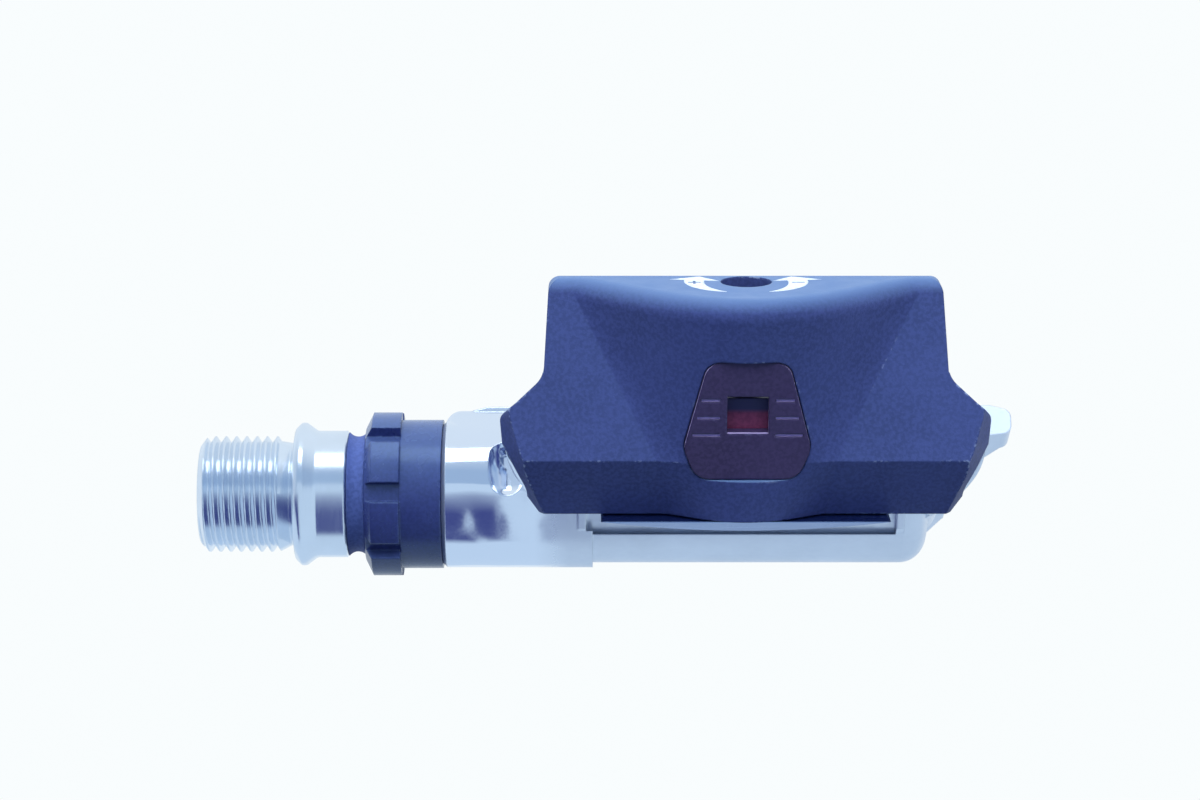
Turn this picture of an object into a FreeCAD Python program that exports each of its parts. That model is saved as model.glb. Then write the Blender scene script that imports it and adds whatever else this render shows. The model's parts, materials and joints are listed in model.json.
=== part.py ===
import FreeCAD, Part
import math
import os

# Right-hand clipless road pedal, in millimetres.
# The spindle lies along X and screws into the crank on its -X side.
# The middle of that thread is the origin, +Y points to the toe and +Z to the cleat.

Vector = FreeCAD.Vector
ORIGIN = Vector(0, 0, 0)
X_AXIS = Vector(1, 0, 0)

# Fits
RUNNING = 0.04
SEAT = 0.03
MOULDED_FIT = 0.12
CLEARANCE = 0.4
FAR = 200.0

# Crank end of the spindle
THREAD_R = 7.14
THREAD_LENGTH = 8.6
THREAD_LEAD = 0.8
THREAD_LEAD_R = 6.1
RELIEF_R = 6.3
SHOULDER_X = 6.6
FLANGE_R = 8.8
FLANGE_FACE_R = 8.2
FLANGE_BEVEL = 0.6
FLANGE_LAND = 0.7
FLANGE_BACK = 1.4
COLLAR_R = 7.8
COLLAR_LENGTH = 6.5
HEX_ACROSS = 8.0
HEX_DEPTH = 9.0

# Bearing end of the spindle, stacked outwards from the needle journal
SEAL_SEAT_R = 6.0
SEAL_SEAT_LENGTH = 5.4
JOURNAL_R = 4.6
JOURNAL_END = 45.0
RACE_SHOULDER_R = 4.1
SHAFT_R = 3.1
SPINDLE_STANDOUT = 2.2
EDGE_BREAK = 0.4
NEEDLE_R = 0.6
NEEDLE_COUNT = 24
NEEDLE_LENGTH = 10.4
SHELL_START = 32.4
SHELL_LIP = 0.5
SHELL_WALL = 0.4
SLEEVE_WALL = 0.6
SLEEVE_END_GAP = 0.3
BALL_R = 1.19
BALL_COUNT = 11
INNER_ROW_X = 53.0
OUTER_ROW_ACROSS = 5.9
TUBE_RACE_WALL = 0.6
TUBE_BORE_R = 4.8
TUBE_LIP = 1.6
CONE_TOE = 0.3
CONE_LENGTH = 4.4
CONE_FLATS = 7.6
CONE_FLATS_LENGTH = 2.6
LOCKNUT_ACROSS = 8.0
LOCKNUT_LENGTH = 3.0

# Splined lock bolt and its dust seal
LOCK_START = 15.3
LOCK_TEETH_LENGTH = 4.4
LOCK_HEAD_LENGTH = 9.4
LOCK_R = 9.15
LOCK_BORE_R = 6.3
LOCK_THREAD_R = 7.5
LOCK_THREAD_LENGTH = 5.6
TOOTH_TIP_R = 10.1
TOOTH_ROOT_R = 8.7
TOOTH_COUNT = 8
TOOTH_ANGLE = 31.0
TOOTH_BEVEL_X = 0.9
TOOTH_BEVEL_R = 1.8
SEAL_R = 7.6
SEAL_WAIST_R = 7.1
SEAL_PLUG_R = 7.0
SEAL_PLUG_LENGTH = 2.4

# Body casting, measured across from the pedal's centre line
PEDAL_CENTRE = 61.1
NECK_R = 9.05
NECK_END = 38.4
NECK_TAPER = 1.6
NECK_BEVEL = 0.5
BARREL_WALL = 1.5
BARREL_ROUND = 3.2
END_WALL = 5.0
END_GAP = 2.4
DECK_TOP = 10.0
DECK_UNDER = 0.5
DECK_UNDER_FRONT = 8.0
LEDGE_HALF = 22.0
LEDGE_REAR = -11.5
LEDGE_UNDER = 5.2
LEDGE_ROUND = 3.0
WING_HALF = 33.6
WING_TOP_HALF = 26.5
WING_SHOULDER_Z = 9.3
WING_REAR = -4.0
WING_TIP_FRONT = -2.0
WING_UNDER = 6.2
WING_ROUND = 1.2
WING_ROOT_HALF = 26.0
WING_ROOT_Y = 9.4
RAIL_HALF = 24.0
RAIL_Y = 21.0
RAIL_ROUND = 14.0
NOSE_SHOULDER_HALF = 18.0
NOSE_SHOULDER_Y = 36.0
NOSE_HALF = 11.0
NOSE_Y = 46.0
NOSE_ROUND = 6.0
DIP_Y = 20.0
DIP_TOP = 9.2
RISE_Y = 30.0
RISE_TOP = 10.4
HOOK_REAR = 34.5
HOOK_TOP = 16.8
HOOK_UNDER = 12.4
HOOK_CREST_Y = 38.0
HOOK_FRONT_Z = 10.8
HOOK_ROUND = 2.4
RAIL_UNDER_Y = 28.0
RAIL_UNDER = 3.6
FRONT_WALL = 4.0
WINDOW_REAR = 14.5
WINDOW_REAR_HALF = 17.5
WINDOW_FRONT_HALF = 11.0
WINDOW_ROUND = 3.5
FAIRING_REAR = -4.5
FAIRING_FRONT = -0.4
FAIRING_HALF = 18.0
FAIRING_KNEE_HALF = 28.6
FAIRING_KNEE_Z = 5.6
FAIRING_FOOT_Z = -5.5
FAIRING_ROUND = 3.0
CAST_ROUND = 1.2
ARM_INSET = 0.3
ARM_BOSS_R = 3.6
ARM_ROOT_R = 5.4
ARM_ROOT_Y = -3.0
ARM_ROOT_Z = 1.0
NECK_SHOULDER_HALF = 36.2
NECK_SHOULDER_R = 2.6
NECK_SHOULDER_REAR = -2.2
NECK_SHOULDER_FRONT = 5.4
NECK_SHOULDER_ROUND = 2.0
SCOOP_R = 2.6
SCOOP_ACROSS = -28.4
SCOOP_Y = -10.4
SCOOP_LOW_Z = -2.4
SCOOP_HIGH_Z = 1.4
RECESS_HALF = 18.8
RECESS_DEPTH = 0.75
RECESS_LOW_Z = -7.2
RECESS_TOP_Z = 0.0
RIB_WIDTH = 1.0
RIB_HEIGHT = 0.9

# Wear plate on the deck
PLATE_HALF = 20.5
PLATE_REAR = -9.5
PLATE_FRONT = 10.5
PLATE_THICK = 0.8
PLATE_ROUND = 3.0
SCREW_HEAD_R = 2.6
SCREW_R = 1.5
SCREW_LENGTH = 3.6
SCREW_DRIVE_R = 1.1
SCREW_DRIVE_DEPTH = 0.7
SCREW_HALF = 15.5
SCREW_FRONT_Y = 7.2
SCREW_REAR_Y = -6.8

# Claw pivot and springs
PIVOT_Y = -16.9
PIVOT_Z = -3.5
PIN_R = 1.6
PIN_HALF = 24.6
PIN_RUNNING = 0.08
WIRE_R = 0.8
SPRING_FREE = 0.25
SPRING_TURNS = 5
SPRING_PITCH = 1.85
SPRING_OUTER_HALF = 16.4
SPRING_BODY_LEG_END = -8.6
SPRING_CLAW_LEG = 3.2

# Claw, measured from the middle of its crest: across, back and down
CREST_BACK = 11.1
CREST_RISE = 19.5
CLAW_TILT = 39.0
CLAW_SWING = 18.0
BEND_DROP = 20.0
CREST_HALF = 23.1
CREST_CORNER = 1.6
WAIST_HALF = 23.7
WAIST_DROP = 10.3
WAIST_ROUND = 3.0
KINK_HALF = 26.9
KINK_DROP = 13.4
FLARE_HALF = 28.9
FLARE_DROP = 15.1
FLARE_CORNER = 1.2
SKIRT_HALF = 28.4
SKIRT_DROP = 21.0
HEEL_HALF = 23.9
SKIRT_ROUND = 9.0
SIDE_LEAN = 14.0
SIDE_BACK = 8.4
BEVEL_BACK = 6.1
BEVEL_SLOPE = 0.53
TAIL_SIDE_BACK = 2.6
TAIL_BACK = 15.5
TAIL_SLOPE = 0.175
TAIL_HALF = 21.0
BEND_SIDE_BACK = 10.3
BEND_HALF = 10.5
HEEL_SIDE_BACK = 6.9
HEEL_BULGE_HALF = 9.5
LOFT_HALF = 32.0
BULGE_SPREAD = 0.65
BULGE_LIFT = 0.25
TAIL_ROUND = 2.2
LIP_REACH = 3.9
LIP_DROP = 5.5
LIP_EDGE = 1.1
LIP_ROOT = 0.4
LIP_ROUND = 0.8
FRONT_REACH = 0.9
COVER_WALL = 1.7
ROOF = 7.0
BAY_HALF = 9.5
BAY_BACK = 8.4
SIDE_BAY_DROP = 14.6
SIDE_BAY_BACK = 6.2

# Metal frame inside the claw
EAR_IN = 17.6
EAR_OUT = 20.6
EAR_TOP_DROP = 15.0
EAR_FRONT = 0.2
EAR_HEAD_BACK = 1.4
EAR_ROUND = 1.4
EAR_TOE_ROUND = 3.0
FLOOR_FRONT_BACK = 1.2
FLOOR_THICK = 1.2
LIP_PLATE_HALF = 17.0
LIP_PLATE_DEPTH = 2.1
LIP_PLATE_BACK = 6.8
LIP_PLATE_TAIL = 10.0
LIP_PLATE_FRONT = 2.5

# Tension adjuster and its indicator
ADJUSTER_BACK = 3.7
HEAD_R = 2.6
HEAD_TOP_DROP = 2.6
HEAD_SEAT_DROP = 5.3
HEAD_HEX = 2.5
HEAD_HEX_DEPTH = 1.8
ADJUSTER_R = 1.75
ADJUSTER_NECK_R = 1.3
ADJUSTER_END_DROP = 18.6
CLIP_R = 2.9
CLIP_THICK = 0.6
CLIP_MOUTH = 1.1
NUT_HALF = 4.2
NUT_TOP_DROP = 13.4
NUT_BOTTOM_DROP = 16.6
NUT_FRONT_BACK = 1.2
NUT_REAR_BACK = 6.2
SHOE_IN = 4.6
SHOE_OUT = 8.8
SHOE_FRONT_BACK = 4.2
FLAG_HALF = 2.9
FLAG_TOP_DROP = 12.5
FLAG_BOTTOM_DROP = 16.9
FLAG_SLOT_TOP = 8.8
FLAG_SLOT_BOTTOM = 17.6
FLAG_SLOT_HALF = 3.5
BADGE_TOP_HALF = 4.6
BADGE_TOP_DROP = 7.6
BADGE_WIDE_HALF = 7.4
BADGE_WIDE_DROP = 18.6
BADGE_BOTTOM_DROP = 22.4
BADGE_FOOT_HALF = 5.9
BADGE_ROUND = 2.4
BADGE_SINK = 0.6
BADGE_THICK = 1.6
VIEW_HALF = 2.4
VIEW_TOP_DROP = 11.9
VIEW_BOTTOM_DROP = 16.6
TICK_COUNT = 3
TICK_IN = 3.2
TICK_LENGTH = 2.2
TICK_GROWTH = 0.5
TICK_WIDTH = 0.35
TICK_DEPTH = 0.3
TICK_TOP_DROP = 12.4
TICK_PITCH = 2.2

# Sizes that follow from the bearing stack
OUTER_ROW_X = PEDAL_CENTRE + OUTER_ROW_ACROSS
NEEDLE_PITCH_R = JOURNAL_R + RUNNING + NEEDLE_R
SHELL_INNER_R = NEEDLE_PITCH_R + NEEDLE_R + RUNNING
SHELL_R = SHELL_INNER_R + SHELL_WALL
SLEEVE_INNER_R = SHELL_R + SEAT
SLEEVE_R = SLEEVE_INNER_R + SLEEVE_WALL
BORE_R = SLEEVE_R + SEAT
BARREL_R = BORE_R + BARREL_WALL
TUBE_R = SLEEVE_INNER_R - SEAT
TUBE_RACE_R = TUBE_R - TUBE_RACE_WALL
RACE_GROOVE_R = BALL_R + RUNNING
BALL_PITCH_R = TUBE_RACE_R - RACE_GROOVE_R
CONE_START = OUTER_ROW_X + CONE_TOE
CONE_END = OUTER_ROW_X + CONE_LENGTH
SPINDLE_END = CONE_END + SEAT + LOCKNUT_LENGTH + SPINDLE_STANDOUT
BORE_END = SPINDLE_END + END_GAP
BARREL_END = BORE_END + END_WALL
LOCK_HEAD_END = LOCK_START + LOCK_HEAD_LENGTH
LOCK_END = LOCK_HEAD_END + LOCK_THREAD_LENGTH
COLLAR_END = SHOULDER_X + COLLAR_LENGTH
RECESS_R = BARREL_R - RECESS_DEPTH
ARM_IN = EAR_OUT + CLEARANCE

# Sizes that follow from the pin, the springs and the claw's tilt
COIL_R = PIN_R + SPRING_FREE + WIRE_R
TILT = math.radians(CLAW_TILT)
CREST_Y = PIVOT_Y - CREST_BACK
CREST_Z = PIVOT_Z + CREST_RISE
PIVOT_BACK = CREST_RISE * math.sin(TILT) - CREST_BACK * math.cos(TILT)
PIVOT_DROP = CREST_RISE * math.cos(TILT) + CREST_BACK * math.sin(TILT)
CLAW_HEIGHT = PIVOT_DROP + COIL_R + WIRE_R + CLEARANCE + FLOOR_THICK + MOULDED_FIT
LIP_PLATE_DROP = CLAW_HEIGHT + LIP_PLATE_DEPTH
SHOE_BOTTOM_DROP = PIVOT_DROP - COIL_R - WIRE_R - MOULDED_FIT
FLAG_BACK = TAIL_BACK - TAIL_SLOPE * FLAG_BOTTOM_DROP - BADGE_SINK - BADGE_THICK - CLEARANCE
CLAW_PLACE = FreeCAD.Placement(
    Vector(PEDAL_CENTRE, CREST_Y, CREST_Z), FreeCAD.Rotation(X_AXIS, CLAW_TILT)
)
BADGE_TILT = math.degrees(math.atan(TAIL_SLOPE))
BADGE_PLACE = FreeCAD.Placement(Vector(0, -TAIL_BACK, 0), FreeCAD.Rotation(X_AXIS, BADGE_TILT))


# Planes that outlines are drawn in
def along_spindle(x, r):
    return Vector(x, 0, r)


def from_side(y, z):
    return Vector(0, y, z)


def from_above(across, y):
    return Vector(PEDAL_CENTRE + across, y, 0)


def from_behind(across, z):
    return Vector(PEDAL_CENTRE + across, 0, z)


def claw_side(back, drop):
    return Vector(0, -back, -drop)


def claw_rear(across, drop):
    return Vector(across, 0, -drop)


# Flat outline with rounded corners, each corner given as (u, v, radius)
def rounded_face(plane, corners):
    ends = []
    count = len(corners)
    for i, (u, v, radius) in enumerate(corners):
        corner = Vector(u, v, 0)
        before = Vector(*corners[i - 1][:2], 0) - corner
        after = Vector(*corners[(i + 1) % count][:2], 0) - corner
        half = before.getAngle(after) / 2
        inset = radius / math.tan(half)
        middle = before.normalize() + after.normalize()
        bulge = radius / math.sin(half) - radius
        first = corner + before * inset
        last = corner + after * inset
        top = corner + middle.normalize() * bulge if radius else corner
        ends.append((first, top, last))
    edges = []
    for i, (first, top, last) in enumerate(ends):
        following = ends[(i + 1) % count][0]
        if corners[i][2]:
            arc = Part.Arc(plane(first.x, first.y), plane(top.x, top.y), plane(last.x, last.y))
            edges.append(arc.toShape())
        if (following - last).Length > SEAT * SEAT:
            edges.append(Part.LineSegment(plane(last.x, last.y), plane(following.x, following.y)).toShape())
    return Part.Face(Part.Wire(edges))


# Flat outline of lines, and of arcs where a step also names the point halfway
def stepped_face(plane, start, steps):
    edges = []
    here = start
    for step in list(steps) + [start]:
        there = step[-2:]
        if len(step) > 2:
            edges.append(Part.Arc(plane(*here), plane(*step[:2]), plane(*there)).toShape())
        else:
            edges.append(Part.LineSegment(plane(*here), plane(*there)).toShape())
        here = there
    return Part.Face(Part.Wire(edges))


# Outline wrapped around two circles
def strap_face(plane, near, near_r, far, far_r):
    run = Vector(far[0] - near[0], far[1] - near[1], 0)
    heading = math.atan2(run.y, run.x)
    lean = math.acos((near_r - far_r) / run.Length)

    def rim(centre, radius, angle):
        return centre[0] + radius * math.cos(angle), centre[1] + radius * math.sin(angle)

    left = heading + lean
    right = heading - lean
    near_left = rim(near, near_r, left)
    return stepped_face(
        plane,
        near_left,
        [
            rim(near, near_r, heading + math.pi) + rim(near, near_r, right),
            rim(far, far_r, right),
            rim(far, far_r, heading) + rim(far, far_r, left),
        ],
    )


def turned(face):
    return face.revolve(ORIGIN, X_AXIS, 360)


def across_claw(face, start, end):
    return face.translated(Vector(start, 0, 0)).extrude(Vector(end - start, 0, 0))


def across_pedal(face, start, end):
    return across_claw(face, PEDAL_CENTRE + start, PEDAL_CENTRE + end)


def tube(start, end, outer, inner):
    length = end - start
    body = Part.makeCylinder(outer, length, Vector(start, 0, 0), X_AXIS)
    return body.cut(Part.makeCylinder(inner, length, Vector(start, 0, 0), X_AXIS))


def box(x0, x1, y0, y1, z0, z1):
    return Part.makeBox(x1 - x0, y1 - y0, z1 - z0, Vector(x0, y0, z0))


def claw_box(half, back0, back1, drop0, drop1):
    return box(-half, half, -back1, -back0, -drop1, -drop0)


def hexagon(across_flats, start, length):
    corner_r = across_flats / math.sqrt(3)
    points = []
    for i in range(7):
        turn = math.radians(60 * i)
        points.append(Vector(start, corner_r * math.sin(turn), corner_r * math.cos(turn)))
    return Part.Face(Part.makePolygon(points)).extrude(Vector(length, 0, 0))


# Cylinder along the claw's adjuster axis
def adjuster_cylinder(radius, drop0, drop1):
    return Part.makeCylinder(radius, drop1 - drop0, Vector(0, -ADJUSTER_BACK, -drop1), Vector(0, 0, 1))


def mirrored_pair(shape, x):
    return [shape, shape.mirror(Vector(x, 0, 0), X_AXIS)]


def joined(shapes):
    return shapes[0].multiFuse(shapes[1:]).removeSplitter()


def in_claw(shape):
    placed = shape.copy()
    placed.Placement = CLAW_PLACE.multiply(placed.Placement)
    return placed


def on_badge_slope(shape):
    placed = shape.copy()
    placed.Placement = BADGE_PLACE.multiply(placed.Placement)
    return placed


# Steel spindle with a hexagon key socket in the crank end
def spindle():
    end_x = -THREAD_LENGTH / 2 - THREAD_LEAD
    flange_rim = SHOULDER_X + FLANGE_BEVEL
    flange_back = flange_rim + FLANGE_LAND
    seat_end = COLLAR_END + SEAL_SEAT_LENGTH
    race_start = INNER_ROW_X - math.sqrt(RACE_GROOVE_R**2 - (BALL_PITCH_R - RACE_SHOULDER_R) ** 2)
    half_turn = math.radians(45)
    race_middle = (
        INNER_ROW_X - RACE_GROOVE_R * math.sin(half_turn),
        BALL_PITCH_R - RACE_GROOVE_R * math.cos(half_turn),
    )
    race_low = (INNER_ROW_X, BALL_PITCH_R - RACE_GROOVE_R)
    body = turned(
        stepped_face(
            along_spindle,
            (end_x, 0),
            [
                (end_x, THREAD_LEAD_R),
                (-THREAD_LENGTH / 2, THREAD_R),
                (THREAD_LENGTH / 2, THREAD_R),
                (THREAD_LENGTH / 2 + THREAD_R - RELIEF_R, RELIEF_R),
                (SHOULDER_X, RELIEF_R),
                (SHOULDER_X, FLANGE_FACE_R),
                (flange_rim, FLANGE_R),
                (flange_back, FLANGE_R),
                (flange_back + FLANGE_BACK, COLLAR_R),
                (COLLAR_END, COLLAR_R),
                (COLLAR_END, SEAL_SEAT_R),
                (seat_end, SEAL_SEAT_R),
                (seat_end + SEAL_SEAT_R - JOURNAL_R, JOURNAL_R),
                (JOURNAL_END, JOURNAL_R),
                (JOURNAL_END + JOURNAL_R - RACE_SHOULDER_R, RACE_SHOULDER_R),
                (race_start, RACE_SHOULDER_R),
                race_middle + race_low,
                (INNER_ROW_X + CONE_TOE, SHAFT_R),
                (SPINDLE_END - EDGE_BREAK, SHAFT_R),
                (SPINDLE_END, SHAFT_R - EDGE_BREAK),
                (SPINDLE_END, 0),
            ],
        )
    )
    return body.cut(hexagon(HEX_ACROSS, end_x, HEX_DEPTH))


# Outer bearing cone with two spanner flats
def bearing_cone():
    groove_r = RACE_GROOVE_R
    toe_r = BALL_PITCH_R - math.sqrt(groove_r**2 - CONE_TOE**2)
    rise = BALL_PITCH_R - RACE_SHOULDER_R
    crown_x = OUTER_ROW_X + math.sqrt(groove_r**2 - rise**2)
    half_turn = (math.asin(CONE_TOE / groove_r) + math.acos(rise / groove_r)) / 2
    middle = (
        OUTER_ROW_X + groove_r * math.sin(half_turn),
        BALL_PITCH_R - groove_r * math.cos(half_turn),
    )
    body = turned(
        stepped_face(
            along_spindle,
            (CONE_START, SHAFT_R + SEAT),
            [
                (CONE_START, toe_r),
                middle + (crown_x, RACE_SHOULDER_R),
                (CONE_END, RACE_SHOULDER_R),
                (CONE_END, SHAFT_R + SEAT),
            ],
        )
    )
    flats_x = CONE_END - CONE_FLATS_LENGTH
    for side in (1, -1):
        flat = box(flats_x, CONE_END, CONE_FLATS / 2, RACE_SHOULDER_R, -RACE_SHOULDER_R, RACE_SHOULDER_R)
        body = body.cut(flat if side > 0 else flat.mirror(ORIGIN, Vector(0, 1, 0)))
    return body


def cone_locknut():
    start = CONE_END + SEAT
    nut = hexagon(LOCKNUT_ACROSS, start, LOCKNUT_LENGTH)
    return nut.cut(Part.makeCylinder(SHAFT_R + SEAT, LOCKNUT_LENGTH, Vector(start, 0, 0), X_AXIS))


def needle_rollers():
    start = SHELL_START + SHELL_LIP + RUNNING
    rollers = []
    for i in range(NEEDLE_COUNT):
        turn = 2 * math.pi * i / NEEDLE_COUNT
        centre = Vector(start, NEEDLE_PITCH_R * math.cos(turn), NEEDLE_PITCH_R * math.sin(turn))
        rollers.append(Part.makeCylinder(NEEDLE_R, NEEDLE_LENGTH, centre, X_AXIS))
    return Part.makeCompound(rollers)


# Drawn cup with a turned-in lip at each end of the rollers
def needle_shell():
    inner_start = SHELL_START + SHELL_LIP
    inner_end = inner_start + NEEDLE_LENGTH + 2 * RUNNING
    end = inner_end + SHELL_LIP
    cup = tube(SHELL_START, end, SHELL_R, NEEDLE_PITCH_R)
    return cup.cut(tube(inner_start, inner_end, SHELL_INNER_R, JOURNAL_R))


def ball_row(x):
    balls = []
    for i in range(BALL_COUNT):
        turn = 2 * math.pi * i / BALL_COUNT
        centre = Vector(x, BALL_PITCH_R * math.cos(turn), BALL_PITCH_R * math.sin(turn))
        balls.append(Part.makeSphere(BALL_R, centre, X_AXIS))
    return Part.makeCompound(balls)


# Tube with a ball race in each end
def ball_tube():
    groove_r = RACE_GROOVE_R
    reach = math.sqrt(groove_r**2 - (TUBE_BORE_R - BALL_PITCH_R) ** 2)
    half_turn = math.acos((TUBE_BORE_R - BALL_PITCH_R) / groove_r) / 2
    out_x = groove_r * math.sin(half_turn)
    out_r = BALL_PITCH_R + groove_r * math.cos(half_turn)
    return turned(
        stepped_face(
            along_spindle,
            (INNER_ROW_X - TUBE_LIP, TUBE_R),
            [
                (INNER_ROW_X - TUBE_LIP, TUBE_RACE_R),
                (INNER_ROW_X, TUBE_RACE_R),
                (INNER_ROW_X + out_x, out_r, INNER_ROW_X + reach, TUBE_BORE_R),
                (OUTER_ROW_X - reach, TUBE_BORE_R),
                (OUTER_ROW_X - out_x, out_r, OUTER_ROW_X, TUBE_RACE_R),
                (OUTER_ROW_X + TUBE_LIP, TUBE_RACE_R),
                (OUTER_ROW_X + TUBE_LIP, TUBE_R),
            ],
        )
    )


def axle_sleeve():
    return tube(LOCK_END + SEAT, BORE_END - SLEEVE_END_GAP, SLEEVE_R, SLEEVE_INNER_R)


# Splined plastic bolt that holds the bearing unit in the body
def lock_bolt():
    teeth_end = LOCK_START + LOCK_TEETH_LENGTH
    plug_end = LOCK_START + SEAL_PLUG_LENGTH + SEAT
    bolt = turned(
        stepped_face(
            along_spindle,
            (LOCK_START, SEAL_PLUG_R + SEAT),
            [
                (LOCK_START, TOOTH_TIP_R - TOOTH_BEVEL_R),
                (LOCK_START + TOOTH_BEVEL_X, TOOTH_TIP_R),
                (teeth_end, TOOTH_TIP_R),
                (teeth_end, LOCK_R),
                (LOCK_HEAD_END, LOCK_R),
                (LOCK_HEAD_END, LOCK_THREAD_R),
                (LOCK_END, LOCK_THREAD_R),
                (LOCK_END, LOCK_BORE_R),
                (plug_end, LOCK_BORE_R),
                (plug_end, SEAL_PLUG_R + SEAT),
            ],
        )
    )
    pitch = 360 / TOOTH_COUNT
    half_gap = math.radians((pitch - TOOTH_ANGLE) / 2)
    root = TOOTH_ROOT_R * math.sin(half_gap)
    mouth = TOOTH_TIP_R * math.tan(half_gap)
    gap = stepped_face(
        from_side,
        (-root, TOOTH_ROOT_R),
        [(root, TOOTH_ROOT_R), (mouth, TOOTH_TIP_R), (mouth, LOCK_R + TOOTH_TIP_R),
         (-mouth, LOCK_R + TOOTH_TIP_R), (-mouth, TOOTH_TIP_R)],
    )
    cutter = gap.translated(Vector(LOCK_START, 0, 0)).extrude(Vector(LOCK_TEETH_LENGTH, 0, 0))
    gaps = []
    for i in range(TOOTH_COUNT):
        one = cutter.copy()
        one.rotate(ORIGIN, X_AXIS, pitch * (i + 0.5))
        gaps.append(one)
    return bolt.cut(Part.makeCompound(gaps))


# Rubber seal with a waisted rim and a plug inside the lock bolt
def dust_seal():
    start = COLLAR_END + RUNNING
    rim_end = LOCK_START - SEAT
    return turned(
        stepped_face(
            along_spindle,
            (start, SEAL_SEAT_R + RUNNING),
            [
                (start, SEAL_R),
                ((start + rim_end) / 2, SEAL_WAIST_R, rim_end, SEAL_R),
                (rim_end, SEAL_PLUG_R),
                (LOCK_START + SEAL_PLUG_LENGTH, SEAL_PLUG_R),
                (LOCK_START + SEAL_PLUG_LENGTH, SEAL_SEAT_R + RUNNING),
            ],
        )
    )


# Round barrel around the bearing unit, closed at its outer end
def barrel():
    round_x = BARREL_END - BARREL_ROUND
    bulge = BARREL_ROUND * (1 - math.cos(math.radians(45)))
    return turned(
        stepped_face(
            along_spindle,
            (LOCK_HEAD_END + SEAT, 0),
            [
                (LOCK_HEAD_END + SEAT, NECK_R - NECK_BEVEL),
                (LOCK_HEAD_END + SEAT + NECK_BEVEL, NECK_R),
                (NECK_END, NECK_R),
                (NECK_END + NECK_TAPER, BARREL_R),
                (round_x, BARREL_R),
                (BARREL_END - bulge, BARREL_R - bulge, BARREL_END, BARREL_R - BARREL_ROUND),
                (BARREL_END, 0),
            ],
        )
    )


# Deck, side rails and front hook: the outline from above within the outline from the side
def deck():
    right_side = [
        (LEDGE_HALF, LEDGE_REAR, LEDGE_ROUND),
        (LEDGE_HALF, WING_REAR, LEDGE_ROUND),
        (WING_HALF, WING_REAR, WING_ROUND),
        (WING_HALF, WING_TIP_FRONT, WING_ROUND),
        (WING_ROOT_HALF, WING_ROOT_Y, LEDGE_ROUND),
        (RAIL_HALF, RAIL_Y, RAIL_ROUND),
        (NOSE_SHOULDER_HALF, NOSE_SHOULDER_Y, NOSE_ROUND),
        (NOSE_HALF, NOSE_Y, NOSE_ROUND),
    ]
    left_side = [(-u, v, r) for u, v, r in reversed(right_side)]
    above = rounded_face(from_above, right_side + left_side)
    above = above.translated(Vector(0, 0, -FAR)).extrude(Vector(0, 0, 2 * FAR))
    side = rounded_face(
        from_side,
        [
            (LEDGE_REAR - CAST_ROUND, DECK_TOP, 0),
            (WINDOW_REAR, DECK_TOP, CAST_ROUND),
            (DIP_Y, DIP_TOP, NOSE_ROUND),
            (RISE_Y, RISE_TOP, NOSE_ROUND),
            (HOOK_CREST_Y, HOOK_TOP, HOOK_ROUND),
            (NOSE_Y, HOOK_TOP, HOOK_ROUND),
            (NOSE_Y, HOOK_FRONT_Z, HOOK_ROUND),
            (RAIL_UNDER_Y, RAIL_UNDER, NOSE_ROUND),
            (DECK_UNDER_FRONT, DECK_UNDER, CAST_ROUND),
            (WING_REAR, DECK_UNDER, CAST_ROUND),
            (WING_REAR - LEDGE_UNDER + DECK_UNDER, LEDGE_UNDER, CAST_ROUND),
            (LEDGE_REAR - CAST_ROUND, LEDGE_UNDER, 0),
        ],
    )
    half = wing_face().translated(Vector(0, -FAR, 0)).extrude(Vector(0, 2 * FAR, 0))
    behind = joined(mirrored_pair(half, PEDAL_CENTRE))
    return above.common(across_pedal(side, -FAR, FAR)).common(behind)


# Outer wing seen from behind, with its web down to the end of the barrel
def wing_face():
    return rounded_face(
        from_behind,
        [
            (-CAST_ROUND, HOOK_TOP + CAST_ROUND, 0),
            (WING_TOP_HALF, HOOK_TOP + CAST_ROUND, 0),
            (WING_TOP_HALF, DECK_TOP + CAST_ROUND, 0),
            (WING_HALF, WING_SHOULDER_Z, CAST_ROUND),
            (WING_HALF, WING_UNDER, CAST_ROUND),
            (FAIRING_KNEE_HALF, FAIRING_KNEE_Z, FAIRING_ROUND),
            (BARREL_END - PEDAL_CENTRE, FAIRING_FOOT_Z, FAIRING_ROUND),
            (-CAST_ROUND, FAIRING_FOOT_Z, 0),
        ],
    )


# Web between the outer wing and the barrel
def wing_fairing():
    depth = FAIRING_FRONT - FAIRING_REAR
    web = wing_face().translated(Vector(0, FAIRING_REAR, 0)).extrude(Vector(0, depth, 0))
    start = PEDAL_CENTRE + FAIRING_HALF
    return web.common(box(start, FAR, -FAR, FAR, -FAR, DECK_TOP))


# Rounded shoulder that blends the inner wing into the neck
def neck_shoulder():
    level = DECK_TOP - NECK_SHOULDER_R
    start = -NECK_SHOULDER_HALF
    webs = []
    for y in (NECK_SHOULDER_REAR, NECK_SHOULDER_FRONT):
        web = strap_face(from_side, (0, 0), NECK_R, (y, level), NECK_SHOULDER_R)
        webs.append(across_pedal(web, start, -FAIRING_HALF))
    start_x = PEDAL_CENTRE + start
    end_x = PEDAL_CENTRE - FAIRING_HALF
    webs.append(box(start_x, end_x, NECK_SHOULDER_REAR, NECK_SHOULDER_FRONT, 0, DECK_TOP))
    shoulder = joined(webs)
    rim = [e for e in shoulder.Edges if e.BoundBox.XMax < start_x + SEAT]
    return shoulder.makeFillet(NECK_SHOULDER_ROUND, rim)


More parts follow.
